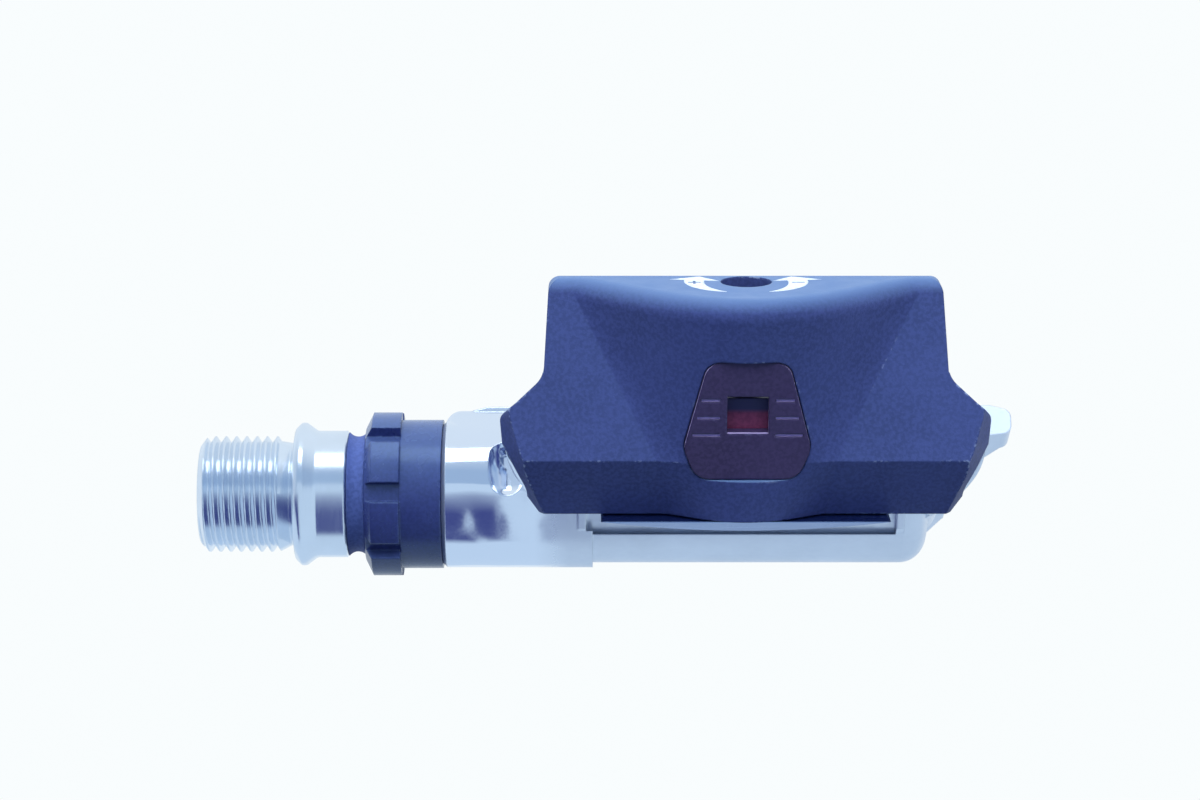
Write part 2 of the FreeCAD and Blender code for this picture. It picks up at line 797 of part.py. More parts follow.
# Straight arm from the barrel to the claw pin, drawn with a gap all round
def arm_strap(inside, gap):
    root = (ARM_ROOT_Y, ARM_ROOT_Z)
    face = strap_face(from_side, root, ARM_ROOT_R + gap, (PIVOT_Y, PIVOT_Z), ARM_BOSS_R + gap)
    return across_pedal(face, inside, WING_HALF)


# Pair of rear arms, trimmed to follow the claw's sides
def rear_arms():
    arm = arm_strap(ARM_IN, 0).common(in_claw(claw_sides(-ARM_INSET)))
    return mirrored_pair(arm, PEDAL_CENTRE)


# Room that the arms need between the closed and the open claw
def arm_paths(inside):
    paths = []
    for swing in (0, CLAW_SWING):
        path = arm_strap(inside, CLEARANCE)
        path.rotate(Vector(0, PIVOT_Y, PIVOT_Z), X_AXIS, -swing)
        paths += mirrored_pair(path, PEDAL_CENTRE)
    return paths


# Thin ribs at the two ends of the spring recess
def recess_ribs():
    rib_r = BARREL_R + RIB_HEIGHT
    disc = tube(PEDAL_CENTRE + RECESS_HALF, PEDAL_CENTRE + RECESS_HALF + RIB_WIDTH, rib_r, BORE_R)
    behind = box(0, FAR, -FAR, 0, RECESS_LOW_Z, RECESS_TOP_Z)
    return mirrored_pair(disc.common(behind), PEDAL_CENTRE)


# Shallow recess behind the barrel that the springs lean into
def spring_recess():
    x0 = PEDAL_CENTRE - RECESS_HALF
    x1 = PEDAL_CENTRE + RECESS_HALF
    ring = tube(x0, x1, NECK_R + RECESS_DEPTH, RECESS_R)
    return ring.common(box(x0, x1, -FAR, 0, RECESS_LOW_Z, RECESS_TOP_Z))


# Scooped hollow between the neck and the inner arm
def neck_scoop():
    low = Vector(PEDAL_CENTRE + SCOOP_ACROSS, SCOOP_Y, SCOOP_LOW_Z)
    high = Vector(low.x, low.y, SCOOP_HIGH_Z)
    ends = [Part.makeSphere(SCOOP_R, place) for place in (low, high)]
    return joined([Part.makeCylinder(SCOOP_R, high.z - low.z, low)] + ends)


def screw_places():
    return [(-SCREW_HALF, SCREW_FRONT_Y), (SCREW_HALF, SCREW_FRONT_Y), (0, SCREW_REAR_Y)]


# One-piece aluminium casting
def body_casting():
    solid = joined([barrel(), deck(), wing_fairing(), neck_shoulder()] + rear_arms() + recess_ribs())
    window = rounded_face(
        from_above,
        [
            (-WINDOW_REAR_HALF, WINDOW_REAR, WINDOW_ROUND),
            (WINDOW_REAR_HALF, WINDOW_REAR, WINDOW_ROUND),
            (WINDOW_FRONT_HALF, HOOK_REAR, WINDOW_ROUND),
            (-WINDOW_FRONT_HALF, HOOK_REAR, WINDOW_ROUND),
        ],
    )
    mouth = box(
        PEDAL_CENTRE - WINDOW_FRONT_HALF,
        PEDAL_CENTRE + WINDOW_FRONT_HALF,
        HOOK_REAR - 2 * WINDOW_ROUND,
        NOSE_Y - FRONT_WALL,
        -FAR,
        HOOK_UNDER,
    )
    pin_hole = Part.makeCylinder(PIN_R + SEAT, 2 * FAR, Vector(-FAR, PIVOT_Y, PIVOT_Z), X_AXIS)
    neck_thread = Part.makeCylinder(
        LOCK_THREAD_R + SEAT, LOCK_THREAD_LENGTH + SEAT, Vector(LOCK_HEAD_END, 0, 0), X_AXIS
    )
    bore = Part.makeCylinder(BORE_R, BORE_END - LOCK_HEAD_END, Vector(LOCK_HEAD_END, 0, 0), X_AXIS)
    cutters = [
        window.translated(Vector(0, 0, -FAR)).extrude(Vector(0, 0, 2 * FAR)),
        mouth,
        pin_hole,
        neck_thread,
        bore,
        spring_recess(),
        neck_scoop(),
    ]
    for across, y in screw_places():
        depth = SCREW_LENGTH - PLATE_THICK + RUNNING
        base = Vector(PEDAL_CENTRE + across, y, DECK_TOP - depth)
        cutters.append(Part.makeCylinder(SCREW_R + SEAT, depth, base))
    for cutter in cutters:
        solid = solid.cut(cutter)
    return solid.removeSplitter()


def screw_head(across, y, gap):
    top = DECK_TOP + PLATE_THICK
    base = Vector(PEDAL_CENTRE + across, y, DECK_TOP)
    return Part.makeCone(SCREW_R + gap, SCREW_HEAD_R + gap, top - DECK_TOP, base)


# Steel plate that the cleat slides on, with countersunk holes
def wear_plate():
    corners = [
        (-PLATE_HALF, PLATE_REAR, PLATE_ROUND),
        (PLATE_HALF, PLATE_REAR, PLATE_ROUND),
        (PLATE_HALF, PLATE_FRONT, PLATE_ROUND),
        (-PLATE_HALF, PLATE_FRONT, PLATE_ROUND),
    ]
    plate = rounded_face(from_above, corners)
    plate = plate.translated(Vector(0, 0, DECK_TOP)).extrude(Vector(0, 0, PLATE_THICK))
    for across, y in screw_places():
        plate = plate.cut(screw_head(across, y, RUNNING))
    return plate


def wear_plate_screws():
    screws = []
    for across, y in screw_places():
        tip = Vector(PEDAL_CENTRE + across, y, DECK_TOP + PLATE_THICK - SCREW_LENGTH)
        shank = Part.makeCylinder(SCREW_R, SCREW_LENGTH - PLATE_THICK, tip)
        drive_z = DECK_TOP + PLATE_THICK - SCREW_DRIVE_DEPTH
        drive = Part.makeCylinder(
            SCREW_DRIVE_R, SCREW_DRIVE_DEPTH, Vector(PEDAL_CENTRE + across, y, drive_z)
        )
        screws.append(joined([shank, screw_head(across, y, 0)]).cut(drive))
    return Part.makeCompound(screws)


def pivot_pin():
    start = Vector(PEDAL_CENTRE - PIN_HALF, PIVOT_Y, PIVOT_Z)
    pin = Part.makeCylinder(PIN_R, 2 * PIN_HALF, start, X_AXIS)
    rims = [e for e in pin.Edges if e.Closed]
    return pin.makeChamfer(EDGE_BREAK, rims)


# Torsion spring: a leg under the recess's upper edge, the coil, and a leg under the adjuster's shoe
def torsion_spring():
    wind = 360 * SPRING_TURNS + CLAW_TILT
    height = SPRING_PITCH * wind / 360
    coil = Part.makeHelix(SPRING_PITCH, height, COIL_R)
    rise = SPRING_PITCH / (2 * math.pi)
    slope = math.hypot(COIL_R, rise)

    def tangent(turn):
        return Vector(-COIL_R * math.sin(turn) / slope, COIL_R * math.cos(turn) / slope, rise / slope)

    start = Vector(COIL_R, 0, 0)
    end_turn = math.radians(wind)
    end = Vector(COIL_R * math.cos(end_turn), COIL_R * math.sin(end_turn), height)
    body_leg = Part.makeLine(start - tangent(0) * (SPRING_BODY_LEG_END - PIVOT_Y), start)
    claw_leg = Part.makeLine(end, end + tangent(end_turn) * SPRING_CLAW_LEG)
    path = Part.Wire([body_leg] + coil.Edges + [claw_leg])
    profile = Part.Wire(Part.makeCircle(WIRE_R, body_leg.Vertexes[0].Point, tangent(0)))
    spring = path.makePipeShell([profile], True, True)
    spring.rotate(ORIGIN, Vector(1, 1, 1), 120)
    spring.rotate(ORIGIN, X_AXIS, 90)
    spring.translate(Vector(PEDAL_CENTRE - SPRING_OUTER_HALF, PIVOT_Y, PIVOT_Z))
    return spring


# Rear edge of the claw at one height: flat sides and a bulge between them
def tail_edge(drop, side_back, centre_back, half):
    bulge = centre_back - side_back
    peak = bulge * (8 - 4 * BULGE_LIFT) / 3
    poles = [
        Vector(-half, -side_back, -drop),
        Vector(-half * BULGE_SPREAD, -side_back - bulge * BULGE_LIFT, -drop),
        Vector(0, -side_back - peak, -drop),
        Vector(half * BULGE_SPREAD, -side_back - bulge * BULGE_LIFT, -drop),
        Vector(half, -side_back, -drop),
    ]
    curve = Part.BezierCurve()
    curve.setPoles(poles)
    left_rear = Vector(-LOFT_HALF, -side_back, -drop)
    right_rear = Vector(LOFT_HALF, -side_back, -drop)
    front_y = LIP_REACH + TAIL_ROUND
    left_front = Vector(-LOFT_HALF, front_y, -drop)
    right_front = Vector(LOFT_HALF, front_y, -drop)
    edges = [
        Part.makeLine(left_rear, poles[0]),
        curve.toShape(),
        Part.makeLine(poles[-1], right_rear),
        Part.makeLine(right_rear, right_front),
        Part.makeLine(right_front, left_front),
        Part.makeLine(left_front, left_rear),
    ]
    return Part.Wire(edges)


# Outline of the claw's crest and waist seen from behind
def crest_outline():
    right_side = [
        (CREST_HALF, 0, CREST_CORNER),
        (WAIST_HALF, WAIST_DROP, 0),
        (FAR, WAIST_DROP, 0),
        (FAR, FAR, 0),
    ]
    left_side = [(-u, v, r) for u, v, r in reversed(right_side)]
    face = rounded_face(claw_rear, right_side + left_side)
    return face.translated(Vector(0, -FAR, 0)).extrude(Vector(0, 2 * FAR, 0))


# Tapering lower sides of the claw seen from behind, drawn with a gap
def skirt_corners(gap):
    return [
        (FLARE_HALF + gap, FLARE_DROP, FLARE_CORNER),
        (SKIRT_HALF + gap, SKIRT_DROP, SKIRT_ROUND),
        (2 * HEEL_HALF - SKIRT_HALF + gap, 2 * CLAW_HEIGHT - SKIRT_DROP, 0),
    ]


# Prism from an outline seen from behind, with sides that lean and also close in towards the rear
def leaning_prism(corners, back, slope):
    run = Vector(-slope, -1, math.tan(math.radians(SIDE_LEAN))) * FAR
    shift = Vector(0, -SIDE_BACK, 0) + run * ((back - SIDE_BACK) / FAR)
    start = Vector(0, shift.y, shift.z) - run
    return rounded_face(claw_rear, corners).translated(start).extrude(run * 2)


# Flared sides of the claw, drawn with a gap all round
def claw_sides(gap):
    right_side = [
        (WAIST_HALF + gap, -FAR, 0),
        (WAIST_HALF + gap, WAIST_DROP, WAIST_ROUND),
        (KINK_HALF + gap, KINK_DROP, WAIST_ROUND),
    ] + skirt_corners(gap)
    left_side = [(-u, v, r) for u, v, r in reversed(right_side)]
    return leaning_prism(right_side + left_side, SIDE_BACK, 0)


# Pair of wedges that bevel the rear edges of those sides
def claw_bevels():
    skirt = skirt_corners(0)
    corners = [(-FAR, -FAR, 0), (FLARE_HALF, -FAR, 0)] + skirt + [(-FAR, skirt[-1][1], 0)]
    return mirrored_pair(leaning_prism(corners, BEVEL_BACK, BEVEL_SLOPE), 0)


# Outside of the claw before it is hollowed
def claw_block():
    sections = [
        tail_edge(0, TAIL_SIDE_BACK, TAIL_BACK, TAIL_HALF),
        tail_edge(BEND_DROP, BEND_SIDE_BACK, TAIL_BACK - TAIL_SLOPE * BEND_DROP, BEND_HALF),
        tail_edge(CLAW_HEIGHT, HEEL_SIDE_BACK, TAIL_BACK - TAIL_SLOPE * CLAW_HEIGHT, HEEL_BULGE_HALF),
    ]
    block = Part.makeLoft(sections, True, True)
    crest = [
        e
        for e in block.Edges
        if e.BoundBox.ZLength < SEAT and e.BoundBox.ZMax > -SEAT and e.BoundBox.YMax < 0
    ]
    block = block.makeFillet(TAIL_ROUND, crest)
    side = rounded_face(
        claw_side,
        [
            (0, 0, LIP_ROUND),
            (-LIP_REACH, LIP_DROP, LIP_ROUND / 2),
            (-LIP_REACH + LIP_EDGE / 2, LIP_DROP + LIP_EDGE, LIP_ROUND / 2),
            (-LIP_ROOT, LIP_DROP, LIP_ROUND),
            (-FRONT_REACH, LIP_DROP + 2 * LIP_EDGE, LIP_ROUND),
            (-FRONT_REACH, FAR, 0),
            (FAR, FAR, 0),
            (FAR, 0, 0),
        ],
    )
    for outline in [crest_outline(), claw_sides(0), across_claw(side, -FAR, FAR)] + claw_bevels():
        block = block.common(outline)
    return block


# Badge-shaped outline on the sloping tail, drawn with a gap all round
def badge_face(gap):
    right_side = [
        (BADGE_TOP_HALF + gap, BADGE_TOP_DROP - gap, BADGE_ROUND),
        (BADGE_WIDE_HALF + gap, BADGE_WIDE_DROP, BADGE_ROUND),
        (BADGE_FOOT_HALF + gap, BADGE_BOTTOM_DROP + gap, BADGE_ROUND),
    ]
    left_side = [(-u, v, r) for u, v, r in reversed(right_side)]
    return rounded_face(claw_rear, right_side + left_side)


def badge_prism(gap, sink0, sink1):
    face = badge_face(gap).translated(Vector(0, sink0, 0))
    return on_badge_slope(face.extrude(Vector(0, sink1 - sink0, 0)))


# Dark plastic claw
def claw_cover():
    cover = claw_block()
    side_bay = rounded_face(
        claw_side,
        [
            (-FAR, SIDE_BAY_DROP, 0),
            (SIDE_BAY_BACK, SIDE_BAY_DROP, LIP_ROUND),
            (BEND_SIDE_BACK - COVER_WALL, BEND_DROP, LIP_ROUND),
            (HEEL_SIDE_BACK - COVER_WALL, CLAW_HEIGHT, 0),
            (HEEL_SIDE_BACK - COVER_WALL, FAR, 0),
            (-FAR, FAR, 0),
        ],
    )
    bay_half = EAR_OUT + MOULDED_FIT
    cutters = [
        across_claw(side_bay, -bay_half, bay_half),
        claw_box(BAY_HALF, -FAR, BAY_BACK, ROOF, BEND_DROP),
        badge_prism(MOULDED_FIT, -FAR, BADGE_SINK + BADGE_THICK),
        claw_box(FLAG_SLOT_HALF, 0, TAIL_BACK, FLAG_SLOT_TOP, FLAG_SLOT_BOTTOM),
        adjuster_cylinder(HEAD_R + CLEARANCE, -TAIL_ROUND, HEAD_SEAT_DROP),
        adjuster_cylinder(ADJUSTER_R + PIN_RUNNING, 0, ROOF),
    ]
    for cutter in cutters:
        cover = cover.cut(cutter)
    cover = in_claw(cover)
    for path in arm_paths(bay_half):
        cover = cover.cut(path)
    return cover.removeSplitter()


# Metal frame that carries the claw on its pin, with a curved plate along the bottom edge
def claw_frame():
    floor_bottom = CLAW_HEIGHT - MOULDED_FIT
    floor_top = floor_bottom - FLOOR_THICK
    heel_back = HEEL_SIDE_BACK - COVER_WALL - MOULDED_FIT
    bend_back = BEND_SIDE_BACK - COVER_WALL - MOULDED_FIT
    ear = rounded_face(
        claw_side,
        [
            (-EAR_FRONT, floor_bottom, EAR_TOE_ROUND),
            (-EAR_FRONT, BEND_DROP, EAR_ROUND),
            (EAR_HEAD_BACK, EAR_TOP_DROP, EAR_ROUND),
            (bend_back - 2 * COVER_WALL, EAR_TOP_DROP, EAR_ROUND),
            (bend_back - COVER_WALL / 2, BEND_DROP, EAR_ROUND),
            (heel_back, floor_bottom, 0),
        ],
    )
    floor = box(-EAR_OUT, EAR_OUT, -heel_back, -FLOOR_FRONT_BACK, -floor_bottom, -floor_top)
    plate_top = CLAW_HEIGHT + MOULDED_FIT
    plate = stepped_face(
        claw_side,
        (LIP_PLATE_TAIL, plate_top),
        [
            (LIP_PLATE_BACK, LIP_PLATE_DROP),
            (LIP_PLATE_FRONT, LIP_PLATE_DROP - FLOOR_THICK),
            (LIP_PLATE_FRONT, floor_top),
            (heel_back, floor_top),
            (heel_back, plate_top),
        ],
    )
    lens = stepped_face(
        claw_rear,
        (-LIP_PLATE_HALF, plate_top),
        [
            (0, LIP_PLATE_DROP, LIP_PLATE_HALF, plate_top),
            (LIP_PLATE_HALF, floor_top),
            (-LIP_PLATE_HALF, floor_top),
        ],
    )
    lens = lens.translated(Vector(0, -FAR, 0)).extrude(Vector(0, 2 * FAR, 0))
    plate = across_claw(plate, -LIP_PLATE_HALF, LIP_PLATE_HALF).common(lens)
    frame = joined(mirrored_pair(across_claw(ear, EAR_IN, EAR_OUT), 0) + [floor, plate])
    bore_r = PIN_R + PIN_RUNNING
    bore = Part.makeCylinder(bore_r, 2 * FAR, Vector(-FAR, -PIVOT_BACK, -PIVOT_DROP), X_AXIS)
    return in_claw(frame.cut(bore))


# Sunk insert with a window over the indicator and tick grooves on both sides
def indicator_cover():
    insert = badge_prism(0, BADGE_SINK, BADGE_SINK + BADGE_THICK)
    view = box(-VIEW_HALF, VIEW_HALF, -FAR, FAR, -VIEW_BOTTOM_DROP, -VIEW_TOP_DROP)
    insert = insert.cut(on_badge_slope(view))
    for i in range(TICK_COUNT):
        drop = TICK_TOP_DROP + TICK_PITCH * i
        length = TICK_LENGTH + TICK_GROWTH * i
        low = -drop - TICK_WIDTH / 2
        tick = box(TICK_IN, TICK_IN + length, -FAR, BADGE_SINK + TICK_DEPTH, low, low + TICK_WIDTH)
        for one in mirrored_pair(tick, 0):
            insert = insert.cut(on_badge_slope(one))
    return in_claw(insert)


def tension_indicator():
    flag = claw_box(FLAG_HALF, NUT_REAR_BACK + SEAT, FLAG_BACK, FLAG_TOP_DROP, FLAG_BOTTOM_DROP)
    return in_claw(flag)


# Recessed bolt with a hexagon socket and a neck for its clip
def adjuster_bolt():
    head = adjuster_cylinder(HEAD_R, HEAD_TOP_DROP, HEAD_SEAT_DROP - RUNNING)
    shank = adjuster_cylinder(ADJUSTER_R, HEAD_TOP_DROP, ADJUSTER_END_DROP)
    bolt = joined([head, shank])
    socket = hexagon(HEAD_HEX, 0, HEAD_HEX_DEPTH)
    socket.rotate(ORIGIN, Vector(0, 1, 0), 90)
    socket.translate(Vector(0, -ADJUSTER_BACK, -HEAD_TOP_DROP))
    bolt = bolt.cut(socket)
    clip_top = ROOF + RUNNING
    ring = adjuster_cylinder(CLIP_R, clip_top - RUNNING, clip_top + CLIP_THICK + RUNNING)
    ring = ring.cut(adjuster_cylinder(ADJUSTER_NECK_R, clip_top - RUNNING, clip_top + CLIP_THICK + RUNNING))
    return in_claw(bolt.cut(ring))


# Spring clip that keeps the bolt in the claw
def adjuster_clip():
    top = ROOF + RUNNING
    ring = adjuster_cylinder(CLIP_R, top, top + CLIP_THICK)
    ring = ring.cut(adjuster_cylinder(ADJUSTER_NECK_R + RUNNING, top, top + CLIP_THICK))
    mouth = box(-CLIP_MOUTH, CLIP_MOUTH, -ADJUSTER_BACK, CLIP_R, -top - CLIP_THICK, -top)
    return in_claw(ring.cut(mouth))


# Square nut that the bolt moves, with a shoe on each side for a spring leg
def adjuster_nut():
    nut = claw_box(NUT_HALF, NUT_FRONT_BACK, NUT_REAR_BACK, NUT_TOP_DROP, NUT_BOTTOM_DROP)
    bridge = claw_box(SHOE_OUT, SHOE_FRONT_BACK, NUT_REAR_BACK, NUT_TOP_DROP, NUT_BOTTOM_DROP)
    shoe = box(SHOE_IN, SHOE_OUT, -NUT_REAR_BACK, -SHOE_FRONT_BACK, -SHOE_BOTTOM_DROP, -NUT_TOP_DROP)
    body = joined([nut, bridge] + mirrored_pair(shoe, 0))
    return in_claw(body.cut(adjuster_cylinder(ADJUSTER_R + RUNNING, NUT_TOP_DROP, NUT_BOTTOM_DROP)))


def main():
    os.makedirs("parts", exist_ok=True)
    left_spring, right_spring = mirrored_pair(torsion_spring(), PEDAL_CENTRE)
    pieces = {
        "spindle": spindle(),
        "bearing_cone": bearing_cone(),
        "cone_locknut": cone_locknut(),
        "needle_rollers": needle_rollers(),
        "needle_shell": needle_shell(),
        "inner_balls": ball_row(INNER_ROW_X),
        "outer_balls": ball_row(OUTER_ROW_X),
        "ball_tube": ball_tube(),
        "axle_sleeve": axle_sleeve(),
        "lock_bolt": lock_bolt(),
        "dust_seal": dust_seal(),
        "body_casting": body_casting(),
        "wear_plate": wear_plate(),
        "wear_plate_screws": wear_plate_screws(),
        "pivot_pin": pivot_pin(),
        "left_spring": left_spring,
        "right_spring": right_spring,
        "claw_cover": claw_cover(),
        "claw_frame": claw_frame(),
        "indicator_cover": indicator_cover(),
        "tension_indicator": tension_indicator(),
        "adjuster_bolt": adjuster_bolt(),
        "adjuster_clip": adjuster_clip(),
        "adjuster_nut": adjuster_nut(),
    }
    for name, shape in pieces.items():
        shape.exportStep("parts/" + name + ".step")


main()
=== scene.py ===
import json
import math

import bmesh
import bpy
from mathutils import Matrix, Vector


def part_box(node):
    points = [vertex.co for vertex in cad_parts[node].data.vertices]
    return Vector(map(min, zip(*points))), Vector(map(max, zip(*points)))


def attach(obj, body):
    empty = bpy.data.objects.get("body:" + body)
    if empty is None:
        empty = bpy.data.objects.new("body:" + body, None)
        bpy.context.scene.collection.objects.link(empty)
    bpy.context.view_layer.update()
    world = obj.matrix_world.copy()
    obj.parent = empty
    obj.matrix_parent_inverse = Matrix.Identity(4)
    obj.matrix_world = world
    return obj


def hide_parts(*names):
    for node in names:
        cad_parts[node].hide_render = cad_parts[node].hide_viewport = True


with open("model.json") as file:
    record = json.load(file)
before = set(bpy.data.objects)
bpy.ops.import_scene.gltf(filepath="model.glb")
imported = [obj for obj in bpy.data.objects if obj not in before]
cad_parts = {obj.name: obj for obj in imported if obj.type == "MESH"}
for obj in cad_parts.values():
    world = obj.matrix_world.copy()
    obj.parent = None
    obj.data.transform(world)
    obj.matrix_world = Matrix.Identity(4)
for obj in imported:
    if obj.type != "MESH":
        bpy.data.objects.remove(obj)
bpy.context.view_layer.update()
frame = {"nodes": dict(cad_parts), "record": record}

# Looks of a clipless road pedal, in metres, in the frame of the part
MM = 0.001
NODES = frame["nodes"]
SUBPARTS = frame["record"]["subparts"]

# Middle of the pedal's body along the spindle
PEDAL_CENTRE = 61.1 * MM

# Camera: behind the pedal and below it
LENS = 102.0
SENSOR = 36.0
CAMERA_PITCH = math.radians(25)
CAMERA_DISTANCE = 420 * MM
CAMERA_X = 44.0 * MM
CAMERA_CLIP = 10 * MM
SPINDLE_BELOW_AXIS = 11.6 * MM

# Paper floor, and the bounds of the dark patch that reflections show on it
FLOOR_Z = -0.34
FLOOR_HALF = 4.0
PAPER_DARK = (0.64, 0.68, 0.72, 1)
PAPER_PALE = (0.68, 0.71, 0.74, 1)
PAPER_CLOUD = 40 * MM
PAPER_ROUGH = 0.9
FLOOR_GLOW = (0.84, 0.90, 0.95, 1)
FLOOR_GLOW_LEVEL = 0.25
FLOOR_FILL = (0.18, 0.23, 0.34, 1)
UNDERSIDE = (0.06, 0.078, 0.255, 1)
HORIZON = (0.60, 0.745, 0.905, 1)
SHADE_SIDE = (0.016, 0.024)
SHADE_BACK = (-1.0, -0.22)
SHADE_FRONT = (0.04, 0.10)

# Sky: white behind the pedal, a soft fill, and a dim rear in reflections
WHITE = (0.945, 0.98, 0.99, 1)
AMBIENT = (0.80, 0.88, 1.0, 1)
AMBIENT_LEVEL = 0.18
REAR_TONE = (0.38, 0.52, 0.72, 1)
SKY = (0.80, 0.89, 0.97, 1)
SKY_AHEAD = (-0.5, 0.4)
SKY_ABOVE = (0.25, 0.8)

# Lamps: place, aim, side lengths, power, and whether reflections show them
LAMP_COLOUR = (0.84, 0.92, 1.0)
BODY_MIDDLE = (PEDAL_CENTRE, 0, 0)
CREST_AIM = (PEDAL_CENTRE, -0.03, 0.01)
LAMPS = {
    "key": dict(at=(-0.10, -0.20, 0.60), aim=BODY_MIDDLE, sides=(0.5, 0.5), power=2.0, mirrored=False),
    "rear": dict(at=(0.06, -0.78, 0.20), aim=BODY_MIDDLE, sides=(0.5, 0.5), power=6.0, mirrored=False),
    "left": dict(at=(-0.55, -0.20, 0.15), aim=BODY_MIDDLE, sides=(0.4, 0.4), power=1.5, mirrored=False),
    "right": dict(at=(0.67, -0.20, 0.15), aim=BODY_MIDDLE, sides=(0.4, 0.4), power=1.5, mirrored=False),
    "crest": dict(at=(0.08, 0.36, 0.46), aim=CREST_AIM, sides=(0.6, 0.6), power=1.0, mirrored=False),
    "strip": dict(at=(0.04, -0.60, 0.52), aim=BODY_MIDDLE, sides=(0.6, 0.35), power=1.4, mirrored=True),
}

# Softened edges, and patterns with how much detail they hold and which values are spread to full contrast
EDGE_SAMPLES = 6
DETAIL_SMOOTH = 1
DETAIL_SOFT = 2
DETAIL_FINE = 3
DETAIL_CRISP = 4
BROAD_RANGE = (0.3, 0.7)

# Plastic: clouds, speckle, scuffs on edges that rub, and a painted highlight that makes faces turned up
# paler, where light falls from above
CLOUD_SIZE = 9 * MM
CLOUD_RANGE = (0.35, 0.65)
CLOUD_TONE = 0.84
SPECKLE_SIZE = 0.45 * MM
SPECKLE_RANGE = (0.40, 0.60)
SPECKLE_TONE = 1.5
SPECKLE_SHARE = 0.4
SCUFF_SIZE = 0.5 * MM
SCUFF_RANGE = (0.48, 0.60)
SCUFF_AREA = 6 * MM
SCUFF_AREA_RANGE = (0.50, 0.64)
RUB_RADIUS = 0.4 * MM
RUB_SHARPNESS = 0.06
# Painted highlight: a pale blue mixed onto faces turned up, standing in for the sheen of light from above
PAINTED_HIGHLIGHT = (0.115, 0.195, 0.38, 1)
PAINTED_HIGHLIGHT_FACING = (-0.35, 0.75)
PATCH_SIZE = 3 * MM
PATCH_SWING = 0.06
PLASTIC_EDGE = 0.3 * MM
PLASTIC_GLOSS = 0.25
SHEEN = (0.55, 0.78, 1.0, 1)
PLASTICS = {
    "print_ink": dict(
        colour=(0.72, 0.80, 0.90, 1), worn=(0.5, 0.58, 0.75, 1), roughness=0.5,
        grain=0.2 * MM, grain_depth=0.002 * MM, wear=0.2,
    ),
    "claw_plastic": dict(
        colour=(0.044, 0.060, 0.186, 1), worn=(0.33, 0.42, 0.62, 1), roughness=0.46,
        grain=0.22 * MM, grain_depth=0.022 * MM, wear=0.9, painted_highlight=1.0,
    ),
    "lock_plastic": dict(
        colour=(0.028, 0.038, 0.155, 1), worn=(0.10, 0.15, 0.36, 1), roughness=0.24,
        grain=0.3 * MM, grain_depth=0.003 * MM, wear=0.5, gloss=0.8, painted_highlight=0.4,
    ),
    "seal_rubber": dict(
        colour=(0.075, 0.11, 0.31, 1), worn=(0.12, 0.16, 0.36, 1), roughness=0.6,
        grain=0.25 * MM, grain_depth=0.01 * MM, wear=0.3,
    ),
    "insert_plastic": dict(
        colour=(0.050, 0.035, 0.098, 1), worn=(0.13, 0.12, 0.26, 1), roughness=0.36,
        grain=0.4 * MM, grain_depth=0.004 * MM, wear=0.6,
    ),
    "indicator_plastic": dict(
        colour=(0.20, 0.045, 0.115, 1), worn=(0.30, 0.10, 0.22, 1), roughness=0.4,
        grain=0.4 * MM, grain_depth=0.003 * MM, wear=0.3,
    ),
}

# Metal: clouds, and scratches drawn out along each axis whose stretch is below 1
METAL_CLOUD = 6 * MM
METAL_TONE = 0.93
METAL_EDGE = 0.25 * MM
SCRATCH_RANGE = (0.25, 0.75)
SCRATCH_SWING = 0.2
TURNED = (1, 0.1, 0.1)
METALS = {
    "spindle_steel": dict(
        colour=(0.80, 0.87, 0.96, 1), roughness=0.20,
        scratch=0.12 * MM, stretch=(1, 0.06, 0.06), depth=0.0003 * MM,
    ),
    "bearing_steel": dict(
        colour=(0.70, 0.72, 0.76, 1), roughness=0.15, scratch=0.4 * MM, stretch=TURNED, depth=0.0005 * MM,
    ),
    "sleeve_aluminium": dict(
        colour=(0.74, 0.76, 0.80, 1), roughness=0.3, scratch=0.3 * MM, stretch=TURNED, depth=0.001 * MM,
    ),
    "plate_steel": dict(
        colour=(0.66, 0.69, 0.75, 1), roughness=0.28,
        scratch=0.3 * MM, stretch=(1, 0.06, 1), depth=0.002 * MM,
    ),
    "screw_steel": dict(colour=(0.60, 0.62, 0.67, 1), roughness=0.25, scratch=0.3 * MM, depth=0.001 * MM),
    "pin_steel": dict(
        colour=(0.68, 0.71, 0.77, 1), roughness=0.2, scratch=0.3 * MM, stretch=TURNED, depth=0.001 * MM,
    ),
    "spring_steel": dict(colour=(0.40, 0.43, 0.50, 1), roughness=0.3, scratch=0.4 * MM, depth=0.001 * MM),
    # Frame steel is darker and bluer than bare steel: painted shade, for the frame lying in the claw's
    # shade
    "frame_steel": dict(
        colour=(0.22, 0.32, 0.55, 1), roughness=0.3,
        scratch=0.4 * MM, stretch=(0.1, 1, 1), depth=0.001 * MM,
    ),
    "adjuster_steel": dict(
        colour=(0.12, 0.12, 0.16, 1), roughness=0.35, scratch=0.3 * MM, depth=0.001 * MM,
    ),
    "nut_steel": dict(colour=(0.62, 0.64, 0.68, 1), roughness=0.3, scratch=0.4 * MM, depth=0.001 * MM),
}

# Satin casting, with a polished neck and scoop whose roughness is a share of the satin's
SATIN = (0.80, 0.86, 0.95, 1)
SATIN_METAL = 0.85
SATIN_ROUGH = 0.40
CAST_GRAIN = 0.35 * MM
CAST_STRETCH = (0.5, 1, 1)
CAST_DEPTH = 0.0015 * MM
POLISHED = (0.78, 0.84, 0.94, 1)
POLISH = 0.2
NECK_START = 25.3 * MM
NECK_RIM = 0.1 * MM
NECK_END = 38.0 * MM
NECK_FADE = 4 * MM
NECK_FRONT = 10 * MM
NECK_WAVE = 7.0 * MM
NECK_WAVE_DEPTH = 0.3 * MM
NECK_WAVE_RANGE = (-0.5, 0.5)
SCOOP_END = 35.4 * MM
SCOOP_FRONT = -7.9 * MM
SCOOP_FADE = 0.3 * MM
